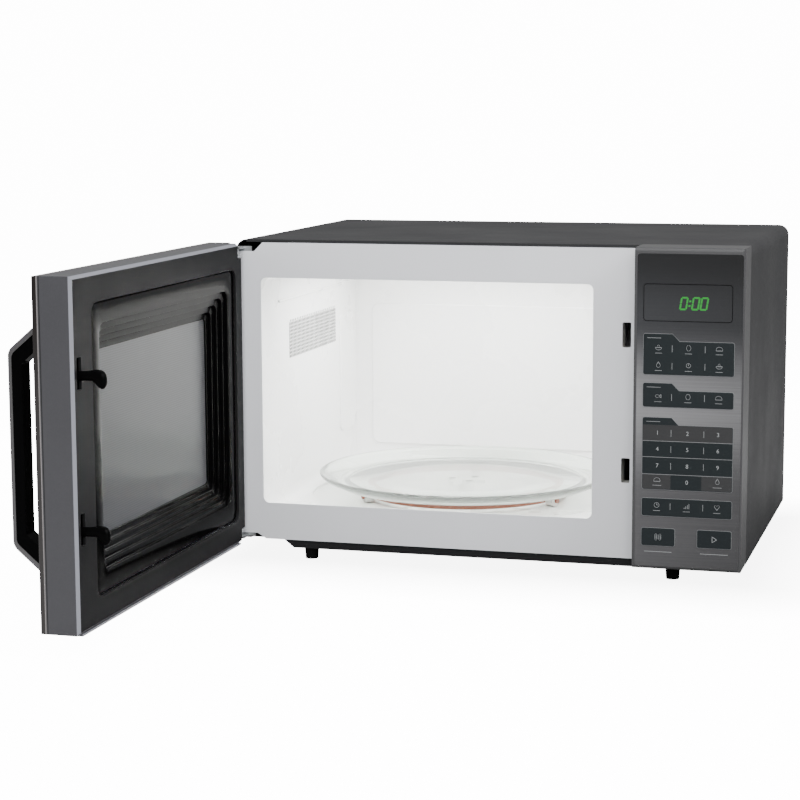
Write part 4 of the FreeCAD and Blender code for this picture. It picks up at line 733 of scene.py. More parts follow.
class OVEN_OT_casing(bpy.types.Operator):
    """Paint the casing and finish the base, back, feet and front plate"""

    bl_idname = "oven.casing"
    bl_label = "Casing"

    def execute(self, context):
        finish_nodes("casing_paint", "outer_wrap", "base_plate")
        finish_nodes("zinc_sheet", "back_panel", "upper_hinge", "lower_hinge")
        finish_nodes("front_paint", "front_plate")
        finish_nodes("foot_rubber", "feet")
        finish_nodes("dark_moulding", "cord_inlet")
        return {"FINISHED"}


class OVEN_OT_screws(bpy.types.Operator):
    """Cross-recessed screw heads on the back of the casing"""

    bl_idname = "oven.screws"
    bl_label = "Screws"

    def execute(self, context):
        boxes = island_boxes("casing_screws")
        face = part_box("outer_wrap")[1].y
        height = boxes[0][1].y - face
        radius = (boxes[0][1].x - boxes[0][0].x) / 2
        mesh = bpy.data.meshes.new("screw_places")
        middles = [(low + high) / 2 for low, high in boxes]
        mesh.from_pydata([(middle.x, face + height / 2, middle.z) for middle in middles], [], [])
        heads = grow("casing_screw_heads", mesh, build_screw_tree(), {
            "Head Radius": radius, "Head Height": height,
            "Recess": radius * 0.3, "Material": FINISHES["screw_steel"],
        })
        piece = dress_piece(
            "casing_screw_heads", heads, "screw_steel", "cabinet", 40, ("casing_screws",),
        )
        soften(piece, radius * 0.12)
        return {"FINISHED"}


# ---- cavity ----


class OVEN_OT_cavity(bpy.types.Operator):
    """Enamel the cavity and add its pressed ribs"""

    bl_idname = "oven.cavity"
    bl_label = "Cavity"

    def execute(self, context):
        finish_nodes("cavity_enamel", "cavity_box")
        finish_nodes("mica_sheet", "waveguide_cover")
        low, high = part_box("cavity_box")
        wall = 1 * MM
        left, back = low.x + wall, high.y - wall
        floor = low.z + 3.5 * MM
        top = high.z - wall
        right = high.x - wall
        rise = 2.2 * MM
        panels = [
            slab(
                rounded_loop(left + 20 * MM, floor + 22 * MM, right - 20 * MM, top - 61 * MM, 9 * MM),
                on_back, back - rise, back + wall / 2,
            ),
            slab(
                rounded_loop(low.y + 61 * MM, top - 35 * MM, back - 30 * MM, top - 32.4 * MM, 1.2 * MM),
                on_wall, left - wall / 2, left + rise,
            ),
            slab(
                rounded_loop(back - 66 * MM, floor + 44 * MM, back - 14 * MM, top - 69 * MM, 8 * MM),
                on_wall, left - wall / 2, left + rise,
            ),
        ]
        ribs = add_piece(
            "cavity_pressings", *gather(panels), "cavity_enamel", "cabinet", "cream_enamel", 40,
        )
        face_outwards(ribs)
        soften(ribs, 0.9 * MM, 3)
        return {"FINISHED"}


class OVEN_OT_vent(bpy.types.Operator):
    """The finely perforated vent in the cavity's left wall"""

    bl_idname = "oven.vent"
    bl_label = "Cavity vent"

    # The vent's near and far edge from the front plate, and its foot and head from the worktop.
    NEAR_EDGE, FAR_EDGE = 97 * MM, 258.5 * MM
    FOOT, HEAD = 196.4 * MM, 234.6 * MM
    SHEET = 0.15 * MM

    def execute(self, context):
        sizes = context.scene.oven_sizes
        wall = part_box("cavity_box")[0].x + 1 * MM
        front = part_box("front_plate")[0].y
        y0, y1 = front + self.NEAR_EDGE, front + self.FAR_EDGE
        z0, z1 = self.FOOT, self.HEAD
        pitch_y = (y1 - y0) / sizes.vent_columns
        pitch_z = (z1 - z0) / sizes.vent_rows
        sides = 12
        hole = []
        rim = []
        for side in range(sides):
            angle = 2 * math.pi * side / sides
            x, y = sizes.vent_hole * math.cos(angle), sizes.vent_hole * math.sin(angle)
            hole.append((x, y))
            reach = 0.5 / max(abs(x), abs(y))
            rim.append((x * reach * pitch_y, y * reach * pitch_z))
        front_height, back_height = 0.1 * MM, 0.0
        points = [(x, y, front_height) for x, y in rim] + [(x, y, front_height) for x, y in hole]
        points += [(x, y, back_height) for x, y in hole] + [(x, y, back_height) for x, y in rim]
        cell = bpy.data.meshes.new("vent_cell")
        cell.from_pydata(points, [], ring_faces(4, sides, False))
        place = (wall + self.SHEET, (y0 + y1) / 2, (z0 + z1) / 2)
        grille = grow("cavity_vent", cell, build_grid_tree(), {
            "Columns": sizes.vent_columns, "Rows": sizes.vent_rows, "Width": y1 - y0 - pitch_y,
            "Height": z1 - z0 - pitch_z, "Turn": (math.pi / 2, 0, math.pi / 2), "Place": place,
            "Material": FINISHES["cavity_enamel"],
        })
        dress_piece("cavity_vent", grille, "cavity_enamel", "cabinet")
        # Painted shadow: a black sheet behind the holes stands in for the dark space behind the cavity
        # wall.
        shadow_sheet = slab(
            rounded_loop(y0, z0, y1, z1, 0.5 * MM, 2), on_wall, wall, wall + self.SHEET,
        )
        shade = add_piece("vent_shadow", *shadow_sheet, "hole_shadow", "cabinet", "dark_plastic")
        face_outwards(shade)
        return {"FINISHED"}


class OVEN_OT_turntable(bpy.types.Operator):
    """The pressed glass plate, its roller ring and its drive"""

    bl_idname = "oven.turntable"
    bl_label = "Turntable"

    def execute(self, context):
        low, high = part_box("glass_plate")
        centre = Vector(((low.x + high.x) / 2, (low.y + high.y) / 2, 0))
        radius = (high.x - low.x) / 2
        lug = 3 * MM
        clearance = 0.05 * MM
        under = low.z + lug + clearance
        top = high.z
        glass = 5 * MM
        flat = 138 * MM
        profile = [
            (0.2 * MM, under), (radius * 0.5, under), (flat - 3 * MM, under), (flat, under + 0.5 * MM),
            (flat + 4 * MM, under + 3 * MM), (radius - 4 * MM, top - 6.5 * MM),
            (radius - 0.8 * MM, top - 3.4 * MM),
            (radius, top - 1.9 * MM), (radius - 0.5 * MM, top - 0.6 * MM), (radius - 1.8 * MM, top),
            (radius - 3.4 * MM, top - 0.5 * MM), (radius - 7 * MM, top - 2.6 * MM),
            (flat + 3 * MM, under + glass + 3 * MM),
            (flat - 2 * MM, under + glass + 0.6 * MM), (flat - 5 * MM, under + glass),
            (flat - 11 * MM, under + glass), (flat - 12.5 * MM, under + glass + 0.7 * MM),
            (flat - 14 * MM, under + glass), (radius * 0.5, under + glass), (0.2 * MM, under + glass),
        ]
        parts = [turned(profile, centre, 128)]
        lugs, lug_ring = 3, 15 * MM
        for index in range(lugs):
            angle = math.radians(60 + 360 / lugs * index)
            spot = centre + Vector((lug_ring * math.cos(angle), lug_ring * math.sin(angle), 0))
            knob = [
                (0.1 * MM, low.z), (3.2 * MM, low.z), (4 * MM, low.z + 0.8 * MM),
                (4 * MM, under), (0.1 * MM, under),
            ]
            parts.append(turned(knob, spot, 24))
        plate = add_piece(
            "glass_turntable", *gather(parts), "plate_glass", "plate", "clear_glass", 50, ("glass_plate",),
        )
        face_outwards(plate)
        finish_nodes("brown_moulding", "roller_ring")
        finish_nodes(
            "white_moulding", "roller_1", "roller_2", "roller_3", "drive_coupler", "turntable_spindle",
        )
        finish_nodes("zinc_sheet", "turntable_motor")
        finish_nodes("screw_steel", "motor_screws")
        return {"FINISHED"}


# ---- door ----


class OVEN_OT_door(bpy.types.Operator):
    """Finish the door's frames, glass and steel"""

    bl_idname = "oven.door"
    bl_label = "Door"

    def execute(self, context):
        finish_nodes("door_side_band", "door_surround")
        finish_nodes("door_inside_plastic", "door_inner_frame")
        finish_nodes("zinc_sheet", "door_choke_panel")
        finish_nodes("shielded_pane", "door_inner_pane")
        finish_nodes("door_face_gloss", "door_front_panel")
        finish_nodes("window_glass", "door_outer_window")
        finish_nodes("dark_moulding", "latch_guides")
        finish_nodes("screw_steel", "latch_spring", "handle_screws")
        finish_nodes("black_gloss", "handle_body")
        finish_nodes("handle_silver", "handle_skin")
        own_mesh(NODES["latch_spring"])
        return {"FINISHED"}


class OVEN_OT_moulding(bpy.types.Operator):
    """The black stepped moulding round the door's inner pane"""

    bl_idname = "oven.moulding"
    bl_label = "Window moulding"

    def execute(self, context):
        sizes = context.scene.oven_sizes
        low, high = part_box("choke_cover")
        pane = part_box("door_inner_pane")[1].x
        face = high.x
        flat = 18.5 * MM
        wall = 1.2 * MM
        last = pane + 1.5 * MM
        rise = (face - last) / sizes.step_count
        soft = 0.7 * MM
        front = [(0.0, low.x), (0.0, face - soft), (soft * 0.3, face - soft * 0.3), (soft, face)]
        front += [(flat - soft, face), (flat - soft * 0.3, face - soft * 0.3)]
        for step in range(sizes.step_count):
            inset = flat + sizes.step_run * step
            level = face - rise * (step + 1)
            end = flat + sizes.step_run * (step + 1)
            front += [
                (inset, level + rise - soft), (inset, level + soft * 0.4), (inset + soft * 0.4, level),
            ]
            front += [(end - soft, level), (end - soft * 0.3, level - soft * 0.3)]
        front += [(end, last - soft), (end, pane + 0.02 * MM)]
        behind = [(end - wall, pane + 0.02 * MM), (end - wall, last - wall)]
        for step in reversed(range(sizes.step_count)):
            inset = flat + sizes.step_run * step
            behind += [
                (inset - wall, face - rise * (step + 1) - wall), (inset - wall, face - rise * step - wall),
            ]
        behind += [(wall, face - wall), (wall, low.x)]
        corner = 9 * MM
        points = []
        for inset, depth in front + behind:
            radius = max(corner - max(0.0, inset - flat) * 0.15, 3 * MM)
            loop = rounded_loop(low.y + inset, low.z + inset, high.y - inset, high.z - inset, radius, 7)
            points += [(depth, y, z) for y, z in loop]
        count = len(front + behind)
        faces = ring_faces(count, len(points) // count, True)
        cover = add_piece(
            "window_moulding", points, faces, "black_gloss",
            "door", "black_gloss_plastic", 40, ("choke_cover",),
        )
        face_outwards(cover)
        return {"FINISHED"}


class OVEN_OT_latch(bpy.types.Operator):
    """The door's sliding lever with its two rounded hooks, and the lip along the door's lower edge"""

    bl_idname = "oven.latch"
    bl_label = "Latch"

    # Each section of a hook, in mm: how far it is from the lever, its top and its foot over the slot's
    # middle, and its half width.
    HOOK = ((-2, 4.4, -6.2, 2.7), (5, 4.0, -5.0, 2.7), (14, 4.0, -4.2, 2.6), (21, 4.9, -4.3, 2.6),
            (23.5, 5.4, -6.6, 2.8), (26, 5.5, -9.6, 2.8), (29, 5.2, -11.0, 2.8), (31.6, 3.9, -10.2, 2.6),
            (33.2, 1.4, -7.8, 2.0), (34, -1.8, -4.6, 0.8))

    def execute(self, context):
        low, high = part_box("latch_lever")
        middle = (low.y + high.y) / 2
        front = low.x + 6 * MM
        bar = rounded_loop(low.x, low.z, front, high.z, 1 * MM, 3)
        parts = [slab(bar, on_back, low.y, high.y)]
        for slot in (high.z - 14 * MM, low.z + 12 * MM):
            parts.append(self.hook(front, middle, slot))
        lever = add_piece(
            "latch_hooks", *gather(parts), "black_gloss", "latch",
            "black_gloss_plastic", 45, ("latch_lever",),
        )
        face_outwards(lever)
        low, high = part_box("door_surround")
        edge = rounded_loop(low.y + 1 * MM, low.z, high.y - 22 * MM, low.z + 1.8 * MM, 0.4 * MM, 3)
        lip = slab(edge, on_wall, high.x - 6 * MM, high.x + 2.6 * MM)
        strip = add_piece("door_lip", *lip, "door_side_band", "door", "grey_plastic", 40)
        face_outwards(strip)
        soften(strip, 0.5 * MM)
        return {"FINISHED"}

    def hook(self, front, middle, slot):
        sides = 20
        points = []
        for reach, top, foot, half in self.HOOK:
            for side in range(sides):
                angle = 2 * math.pi * side / sides
                rise = (top + foot) / 2 + (top - foot) / 2 * math.sin(angle)
                points.append((front + reach * MM, middle + half * MM * math.cos(angle), slot + rise * MM))
        last = len(points) - sides
        faces = ring_faces(len(self.HOOK), sides, False)
        faces += [tuple(reversed(range(sides))), tuple(range(last, last + sides))]
        return points, faces


# ---- control panel ----


def on_panel(depth_face):
    """A place function for things printed or raised on the panel's front."""
    return lambda x, z, depth: (x, depth_face - depth, z)


def pad_outline(box, tab, grow_by=0.0):
    """A key pad with rounded corners, and a tab over its left third if tab is above nothing."""
    low, high = box
    x0, x1 = low.x - grow_by, high.x + grow_by
    z0, z1 = low.z - grow_by, high.z + grow_by
    radius = 2 * MM + grow_by
    points = rounded_loop(x0, z0, x1, z1, radius, 4)
    if tab <= 0:
        return points
    step = 5
    lower = [(x, z) for x, z in points[:step]]
    upper = [(x, z - tab) for x, z in points[step:2 * step]]
    width = x1 - x0
    slope = [(x0 + width * 0.40, z1 - tab), (x0 + width * 0.32, z1)]
    return lower + upper + slope + points[2 * step:]


def column_places(box):
    low, high = box
    width = high.x - low.x
    return [low.x + width * share for share in (0.17, 0.5, 0.835)]


def separators(box, z, height):
    low, high = box
    width = high.x - low.x
    places = [low.x + width * share for share in (0.32, 0.68)]
    return [[(x, z - height / 2), (x, z + height / 2)] for x in places]


def key_symbol(kind, x, z, size):
    """A small generic line drawing for a key, as open or closed lines."""
    half = size / 2
    if kind == "bowl":
        bowl = arc(x, z, half, 180, 360, 8, 0.8)
        return [(bowl, True), (arc(x, z + half * 0.5, half * 0.3, 200, -20, 6), False)]
    if kind == "leaf":
        return [
            (arc(x - half * 0.3, z, half, -60, 60, 8), False),
            (arc(x + half * 0.3, z, half, 120, 240, 8), False),
        ]
    if kind == "loaf":
        base = [(x - half, z - half * 0.6), (x + half, z - half * 0.6)]
        return [(arc(x, z - half * 0.2, half, 0, 180, 10, 0.8) + base, True)]
    if kind == "drop":
        return [(arc(x, z - half * 0.2, half * 0.62, 150, 390, 10) + [(x, z + half)], True)]
    if kind == "flame":
        return [(arc(x, z, half * 0.7, 0, 360, 12), True), ([(x, z), (x, z + half * 0.4)], False)]
    if kind == "fish":
        tail = [(x + half, z - half * 0.5), (x + half, z + half * 0.5)]
        return [(arc(x - half * 0.2, z, half * 0.7, 20, 340, 12, 0.6) + tail, True)]
    if kind == "clock":
        hands = [(x, z + half * 0.45), (x, z), (x + half * 0.4, z)]
        return [(arc(x, z, half * 0.8, 0, 360, 14), True), (hands, False)]
    if kind == "bars":
        rises = [(-0.7, 0.3), (-0.2, 0.7), (0.3, 1.1), (0.8, 1.5)]
        foot = z - half * 0.8
        bars = [[(x + half * across, foot), (x + half * across, foot + half * up)] for across, up in rises]
        return [(bar, False) for bar in bars]
    if kind == "heart":
        lobe = half * 0.42
        lobes = []
        for side in (1, -1):
            lobes += arc(x + side * lobe, z + half * 0.3, lobe, 0, 180, 6)
        return [(lobes + [(x, z - half * 0.85)], True)]
    if kind == "pause":
        bars = []
        for side in (-1, 1):
            middle = x + side * half * 0.5
            reach = half * 0.24
            bar = rounded_loop(
                middle - reach, z - half * 0.8, middle + reach, z + half * 0.8, half * 0.15, 2,
            )
            bars.append((bar, True))
        return bars
    back = x - half * 0.5
    triangle = [(back, z - half * 0.75), (x + half * 0.65, z), (back, z + half * 0.75)]
    return [(triangle, True)]


class OVEN_OT_panel(bpy.types.Operator):
    """Finish the control panel's housing, film and lens"""

    bl_idname = "oven.panel"
    bl_label = "Control panel"

    def execute(self, context):
        finish_nodes("housing_plastic", "control_housing")
        finish_nodes("fascia_film", "control_fascia", "display_lens")
        return {"FINISHED"}


class OVEN_OT_keys(bpy.types.Operator):
    """The raised key pads with their borders and printing"""

    bl_idname = "oven.keys"
    bl_label = "Keys"

    def execute(self, context):
        sizes = context.scene.oven_sizes
        boxes = island_boxes("keypad_membrane")
        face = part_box("control_fascia")[0].y
        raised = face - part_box("keypad_membrane")[0].y
        place = on_panel(face)
        tabs = [sizes.key_tab] * 3 + [0.0] * 3
        pads, lines = [], []
        for box, tab in zip(boxes, tabs):
            pads.append(slab(pad_outline(box, tab, -sizes.key_border * 0.6), place, 0.0, raised))
            lines.append(slab(pad_outline(box, tab), place, 0.0, raised * 0.55))
        pad_piece = add_piece(
            "key_pads", *gather(pads), "key_pad", "cabinet", "panel_film", 40, ("keypad_membrane",),
        )
        face_outwards(pad_piece)
        soften(pad_piece, 0.12 * MM)
        border = add_piece("key_borders", *gather(lines), "key_line", "cabinet", "panel_film", 40)
        face_outwards(border)
        self.print_numbers(boxes, raised, place, sizes)
        self.print_symbols(boxes, raised, place, sizes)
        return {"FINISHED"}

    def number_rows(self, box):
        """The levels that divide the number pad into its four rows, from the top down."""
        low, high = box
        height = high.z - low.z
        return [low.z + height * share for share in (0.895, 0.674, 0.452, 0.215, 0.012)]

    def print_numbers(self, boxes, raised, place, sizes):
        box = boxes[2]
        low, high = box
        rows = self.number_rows(box)
        columns = column_places(box)
        width = high.x - low.x
        inset = sizes.key_border * 1.2
        pale = [(low.x + inset, rows[1], high.x - inset, rows[0])]
        pale += [(low.x + inset, rows[4], low.x + width * 0.32, rows[3])]
        pale += [(low.x + width * 0.66, rows[4], high.x - inset, rows[3])]
        outlines = [rounded_loop(*area, 0.4 * MM, 2) for area in pale]
        parts = [slab(outline, place, raised - 0.02 * MM, raised + 0.06 * MM) for outline in outlines]
        piece = add_piece("pale_keys", *gather(parts), "key_pad_pale", "cabinet", "panel_film")
        face_outwards(piece)
        rules = []
        for level in rows[1:4]:
            rules += stroke([(low.x + inset, level), (high.x - inset, level)], sizes.print_width)
        parts = [slab(rule, place, raised, raised + 0.1 * MM) for rule in rules]
        piece = add_piece("key_rules", *gather(parts), "key_line", "cabinet", "panel_film")
        face_outwards(piece)
        digits = "1234567890"
        spots = [(columns[index % 3], (rows[index // 3] + rows[index // 3 + 1]) / 2) for index in range(9)]
        spots.append((columns[1], (rows[3] + rows[4]) / 2))
        level = place(0, 0, raised + 0.08 * MM)[1]
        combined = bmesh.new()
        for label, (x, z) in zip(digits, spots):
            text = bpy.data.curves.new("number", "FONT")
            text.body = label
            text.size = 5.6 * MM
            text.align_x = "CENTER"
            text.align_y = "CENTER"
            text.extrude = 0.05 * MM
            carrier = bpy.data.objects.new("number", text)
            bpy.context.scene.collection.objects.link(carrier)
            bpy.context.view_layer.update()
            mesh = bpy.data.meshes.new_from_object(carrier)
            mesh.transform(Matrix.Translation((x, level, z)) @ Matrix.Rotation(math.pi / 2, 4, "X"))
            combined.from_mesh(mesh)
            bpy.data.objects.remove(carrier)
        mesh = bpy.data.meshes.new("key_numbers")
        combined.to_mesh(mesh)
        combined.free()
        dress_piece("key_numbers", mesh, "key_print", "cabinet")

    def underlines(self, box, z):
        half, below = 3.2 * MM, 5.4 * MM
        return [[(x - half, z - below), (x + half, z - below)] for x in column_places(box)]

    def print_symbols(self, boxes, raised, place, sizes):
        width = sizes.print_width
        small = 6 * MM
        drawn = []
        strips = []
        first, second, numbers, fourth, stop, start = boxes
        for level, kinds in ((0.665, ("bowl", "leaf", "loaf")), (0.245, ("drop", "flame", "bowl"))):
            z = first[0].z + (first[1].z - first[0].z) * level
            drawn += [(kind, x, z) for kind, x in zip(kinds, column_places(first))]
            strips += separators(first, z - 1.0 * MM, 6 * MM)
            strips += self.underlines(first, z)
        single_rows = ((second, ("fish", "leaf", "loaf"), 0.46), (fourth, ("clock", "bars", "heart"), 0.62))
        for box, kinds, level in single_rows:
            z = box[0].z + (box[1].z - box[0].z) * level
            drawn += [(kind, x, z) for kind, x in zip(kinds, column_places(box))]
            strips += separators(box, z - 1.0 * MM, 6 * MM)
            strips += self.underlines(box, z)
        rows = self.number_rows(numbers)
        for index in range(3):
            strips += separators(numbers, (rows[index] + rows[index + 1]) / 2, 6 * MM)
        for kind, x in (("loaf", column_places(numbers)[0]), ("drop", column_places(numbers)[2])):
            drawn.append((kind, x, (rows[3] + rows[4]) / 2 + 2 * MM))
            level = (rows[3] + rows[4]) / 2 - 3.6 * MM
            strips.append([(x - 4 * MM, level), (x + 4 * MM, level)])
        for box in (first, second, numbers):
            level = box[1].z - sizes.key_tab * 0.6
            strips.append([(box[0].x + 4 * MM, level), (box[0].x + 17 * MM, level)])
        outlines = []
        for kind, x, z in drawn:
            for line, closed in key_symbol(kind, x, z, small):
                outlines += stroke(line, width * 0.8, closed)
        for kind, box in (("pause", stop), ("play", start)):
            x, z = (box[0].x + box[1].x) / 2, (box[0].z + box[1].z) / 2
            for line, closed in key_symbol(kind, x, z, 7.5 * MM):
                outlines += stroke(line, width, closed)
        for line in strips:
            outlines += stroke(line, width * 0.7)
        parts = [slab(outline, place, raised, raised + 0.08 * MM) for outline in outlines]
        for box in (stop, start):
            middle = (box[0].x + box[1].x) / 2
            line = [(middle - 13 * MM, box[0].z - 5.5 * MM), (middle + 13 * MM, box[0].z - 5.5 * MM)]
            parts += [slab(outline, place, 0.0, 0.08 * MM) for outline in stroke(line, width)]
        piece = add_piece("key_symbols", *gather(parts), "key_print", "cabinet", "panel_film")
        face_outwards(piece)


class OVEN_OT_display(bpy.types.Operator):
    """The lens's outline and the lit digits"""

    bl_idname = "oven.display"
    bl_label = "Display"

    # Where each lit segment of a zero starts and ends, as shares of the digit's width and height.
    SEGMENTS = (
        (0, 1, 1, 1), (1, 1, 1, 0.5), (1, 0.5, 1, 0), (0, 0, 1, 0), (0, 0, 0, 0.5), (0, 0.5, 0, 1),
    )

    def execute(self, context):
        sizes = context.scene.oven_sizes
        low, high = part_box("display_lens")
        place = on_panel(low.y)
        height = sizes.digit_height
        width = height * 0.52
        lean = math.tan(math.radians(9))
        bar = height * 0.15
        base = low.z + 11.7 * MM
        start = low.x + 34.5 * MM
        outlines = []
        for offset in (0.0, width * 1.95, width * 3.35):
            for ax, ay, bx, by in self.SEGMENTS:
                gap = bar * 0.62
                ux, uy = (bx - ax), (by - ay)
                length = math.hypot(ux * width, uy * height)
                tx, ty = ux * width / length * gap, uy * height / length * gap
                line = [
                    (start + offset + ax * width + tx, base + ay * height + ty),
                    (start + offset + bx * width - tx, base + by * height - ty),
                ]
                outlines += stroke(line, bar)
        for level in (0.3, 0.7):
            spot = start + width * 1.48
            z = base + height * level
            outlines += stroke([(spot - bar * 0.1, z), (spot + bar * 0.1, z)], bar)
        leaning = [[(x + (z - base) * lean, z) for x, z in outline] for outline in outlines]
        parts = [slab(outline, place, -0.02 * MM, 0.06 * MM) for outline in leaning]
        digits = add_piece("display_digits", *gather(parts), "lit_digits", "cabinet", "panel_film")
        face_outwards(digits)
        outline = rounded_loop(low.x, low.z, high.x, high.z, 3 * MM)
        inner = rounded_loop(
            low.x + 0.5 * MM, low.z + 0.5 * MM, high.x - 0.5 * MM, high.z - 0.5 * MM, 2.6 * MM,
        )
        count = len(outline)
        loops = [(outline, 0.0), (outline, 0.05 * MM), (inner, 0.05 * MM), (inner, 0.0)]
        points = [place(x, z, depth) for loop, depth in loops for x, z in loop]
        groove = add_piece(
            "display_outline", points, ring_faces(4, count, True), "black_gloss", "cabinet", "dark_plastic",
        )
        face_outwards(groove)
        return {"FINISHED"}


class OVEN_OT_inside(bpy.types.Operator):
    """Finish everything behind the casing"""

    bl_idname = "oven.inside"
    bl_label = "Inside"

    def execute(self, context):
        finish_nodes("board_lacquer", "control_board", "filter_board")
        finish_nodes("dark_moulding", "display_module", "relays", "door_switches", "high_voltage_diode")
        finish_nodes("white_moulding", "latch_board", "fan_frame", "fan_blade", "lamp_socket")
        finish_nodes(
            "zinc_sheet", "waveguide", "magnetron_yoke", "filter_box", "capacitor_strap", "fan_motor",
        )
        finish_nodes("ferrite", "magnetron_magnets")
        finish_nodes("bare_aluminium", "magnetron_tube", "high_voltage_capacitor")
        finish_nodes("laminated_core", "transformer_core")
        finish_nodes("copper_winding", "primary_coil", "secondary_coil")
        finish_nodes("bulb_glass", "lamp_bulb")
        finish_nodes("ceramic_body", "thermal_cutout")
        return {"FINISHED"}


# ---- stage ----


def add_light(name, place, target, size, power):
    data = bpy.data.lights.new(name, "AREA")
    data.shape = "RECTANGLE"
    data.size, data.size_y = size
    data.energy = power
    lamp = bpy.data.objects.new(name, data)
    bpy.context.scene.collection.objects.link(lamp)
    lamp.location = place
    lamp.rotation_euler = (Vector(place) - Vector(target)).to_track_quat("Z", "Y").to_euler()
    return lamp


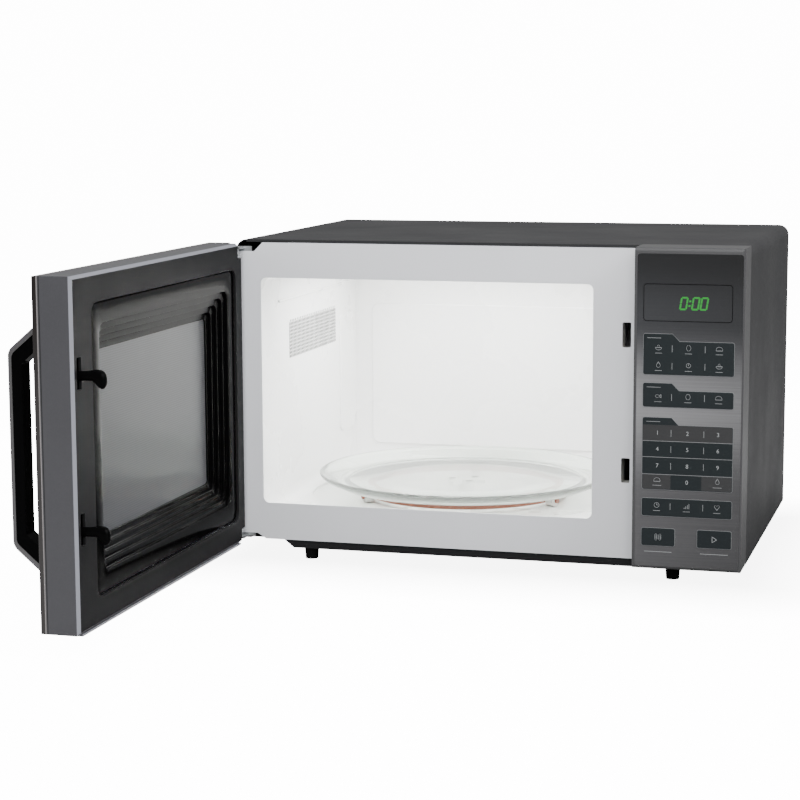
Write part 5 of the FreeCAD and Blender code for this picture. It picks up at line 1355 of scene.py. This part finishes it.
class OVEN_OT_stage(bpy.types.Operator):
    """A pale floor, soft studio light and the camera"""

    bl_idname = "oven.stage"
    bl_label = "Stage"

    def execute(self, context):
        self.set_camera(context)
        floor_size = 12.0
        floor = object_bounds()[0][2]
        mesh = bpy.data.meshes.new("studio_floor")
        half = floor_size / 2
        corners = ((-half, -half), (half, -half), (half, half), (-half, half))
        mesh.from_pydata([(x, y, floor) for x, y in corners], [], [(0, 1, 2, 3)])
        mesh.materials.append(self.floor_finish())
        ground = bpy.data.objects.new("studio_floor", mesh)
        context.scene.collection.objects.link(ground)
        ground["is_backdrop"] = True
        world = bpy.data.worlds.new("studio_light")
        world.use_nodes = True
        self.light_world(world.node_tree)
        context.scene.world = world
        add_light("top_softbox", (0.2, -0.6, 1.9), (0.2, 0.1, 0.15), (1.8, 1.4), 34)
        add_light("front_softbox", (0.6, -2.5, 1.2), (0.12, 0.0, 0.15), (1.4, 1.0), 50)
        add_light("left_softbox", (-1.9, -1.2, 0.9), (-0.1, -0.2, 0.15), (0.9, 1.2), 14)
        add_light("right_softbox", (1.9, -0.5, 1.6), (0.4, 0.15, 0.2), (1.0, 1.0), 45)
        low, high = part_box("cavity_box")
        middle = (low + high) / 2
        lamp = bpy.data.lights.new("cavity_lamp", "AREA")
        lamp.shape = "RECTANGLE"
        lamp.size, lamp.size_y = 0.26, 0.2
        lamp.energy = 2.5
        glow = bpy.data.objects.new("cavity_lamp", lamp)
        glow.location = (middle.x, middle.y, high.z - 4 * MM)
        context.scene.collection.objects.link(glow)
        return {"FINISHED"}

    def light_world(self, tree):
        """White behind the object, and a softer light on it."""
        background = tree.nodes["Background"]
        background.inputs["Color"].default_value = (1.0, 1.0, 1.0, 1.0)
        path = tree.nodes.new("ShaderNodeLightPath")
        strength = math_node(tree, "MULTIPLY_ADD", path.outputs["Is Camera Ray"], 14.0, 0.45)
        tree.links.new(strength, background.inputs["Strength"])

    def floor_finish(self):
        """White that falls off to a painted soft shadow near the object: both its camera glow and its
        colour are darker there.
        """
        tree, shader, place = start_finish("studio_floor", Specular_IOR_Level=0.2)
        low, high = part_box("base_plate")
        axes = object_axes(tree, place)
        squares = []
        for axis, start, end in (("X", low.x, high.x), ("Y", low.y, high.y)):
            offset = math_node(tree, "ABSOLUTE", math_node(tree, "SUBTRACT", axes[axis], (start + end) / 2))
            outside = math_node(
                tree, "MAXIMUM", math_node(tree, "SUBTRACT", offset, (end - start) / 2), 0.0,
            )
            squares.append(math_node(tree, "MULTIPLY", outside, outside))
        away = math_node(tree, "SQRT", math_node(tree, "ADD", *squares))
        # Painted shadow: the glow that the camera sees is lower near the object's footprint.
        glow = share_between(tree, away, 0.0, 0.14, 7.0, 14.0)
        path = tree.nodes.new("ShaderNodeLightPath")
        tree.links.new(
            math_node(tree, "MULTIPLY", path.outputs["Is Camera Ray"], glow),
            shader.inputs["Emission Strength"],
        )
        shader.inputs["Emission Color"].default_value = (1.0, 1.0, 1.0, 1.0)
        pattern = use_group(
            tree, "surface_grain", place.outputs["Object"], Grain_Scale=90.0, Patch_Scale=1.5,
        )
        open_floor = mix_colour(tree, pattern.outputs["Patches"], (0.50, 0.50, 0.505), (0.54, 0.54, 0.54))
        # Painted shade: the floor's colour goes darker towards the object's footprint.
        shade = mix_colour(
            tree, share_between(tree, away, 0.0, 0.3, 0.0, 1.0), (0.08, 0.08, 0.08), open_floor,
        )
        tree.links.new(shade, shader.inputs["Base Color"])
        tree.links.new(spread(tree, pattern.outputs["Patches"], 0.6, 0.7), shader.inputs["Roughness"])
        return FINISHES["studio_floor"]

    def set_camera(self, context):
        azimuth, elevation, roll = (math.radians(angle) for angle in (15.97, 8.17, -0.26))
        away = Vector((
            math.sin(azimuth) * math.cos(elevation),
            -math.cos(azimuth) * math.cos(elevation), math.sin(elevation),
        ))
        right = (-away).cross(Vector((0, 0, 1))).normalized()
        up = right.cross(-away)
        turned_right = right * math.cos(roll) + up * math.sin(roll)
        turned_up = up * math.cos(roll) - right * math.sin(roll)
        data = bpy.data.cameras.new("studio_camera")
        data.lens = 97.1
        data.sensor_width = 36
        data.clip_end = 50
        camera = bpy.data.objects.new("studio_camera", data)
        context.scene.collection.objects.link(camera)
        turn = Matrix((turned_right, turned_up, away)).transposed().to_4x4()
        camera.matrix_world = Matrix.Translation((688.9 * MM, -2074.6 * MM, 477.6 * MM)) @ turn
        context.scene.camera = camera


# ---- panel and registration ----


PIECE_OPERATORS = (
    OVEN_OT_casing, OVEN_OT_screws, OVEN_OT_cavity, OVEN_OT_vent, OVEN_OT_turntable, OVEN_OT_door,
    OVEN_OT_moulding, OVEN_OT_latch, OVEN_OT_panel, OVEN_OT_keys,
    OVEN_OT_display, OVEN_OT_inside, OVEN_OT_stage,
)


class OVEN_PT_sidebar(bpy.types.Panel):
    """The oven's sizes, colours and pieces"""

    bl_label = "Microwave Oven"
    bl_idname = "OVEN_PT_sidebar"
    bl_space_type = "VIEW_3D"
    bl_region_type = "UI"
    bl_category = "Oven"

    def draw(self, context):
        for group in (context.scene.oven_sizes, context.scene.oven_colours):
            for name in group.__annotations__:
                self.layout.prop(group, name)
        for operator in PIECE_OPERATORS:
            self.layout.operator(operator.bl_idname)


CLASSES = (OvenSizes, OvenColours, *PIECE_OPERATORS, OVEN_PT_sidebar)


def register():
    for cls in CLASSES:
        bpy.utils.register_class(cls)
    bpy.types.Scene.oven_sizes = PointerProperty(type=OvenSizes)
    bpy.types.Scene.oven_colours = PointerProperty(type=OvenColours)


def unregister():
    del bpy.types.Scene.oven_colours
    del bpy.types.Scene.oven_sizes
    for cls in reversed(CLASSES):
        bpy.utils.unregister_class(cls)


def main():
    register()
    make_finishes(bpy.context.scene.oven_colours)
    for operator in PIECE_OPERATORS:
        section, name = operator.bl_idname.split(".")
        getattr(getattr(bpy.ops, section), name)()


if __name__ == "__main__":
    main()
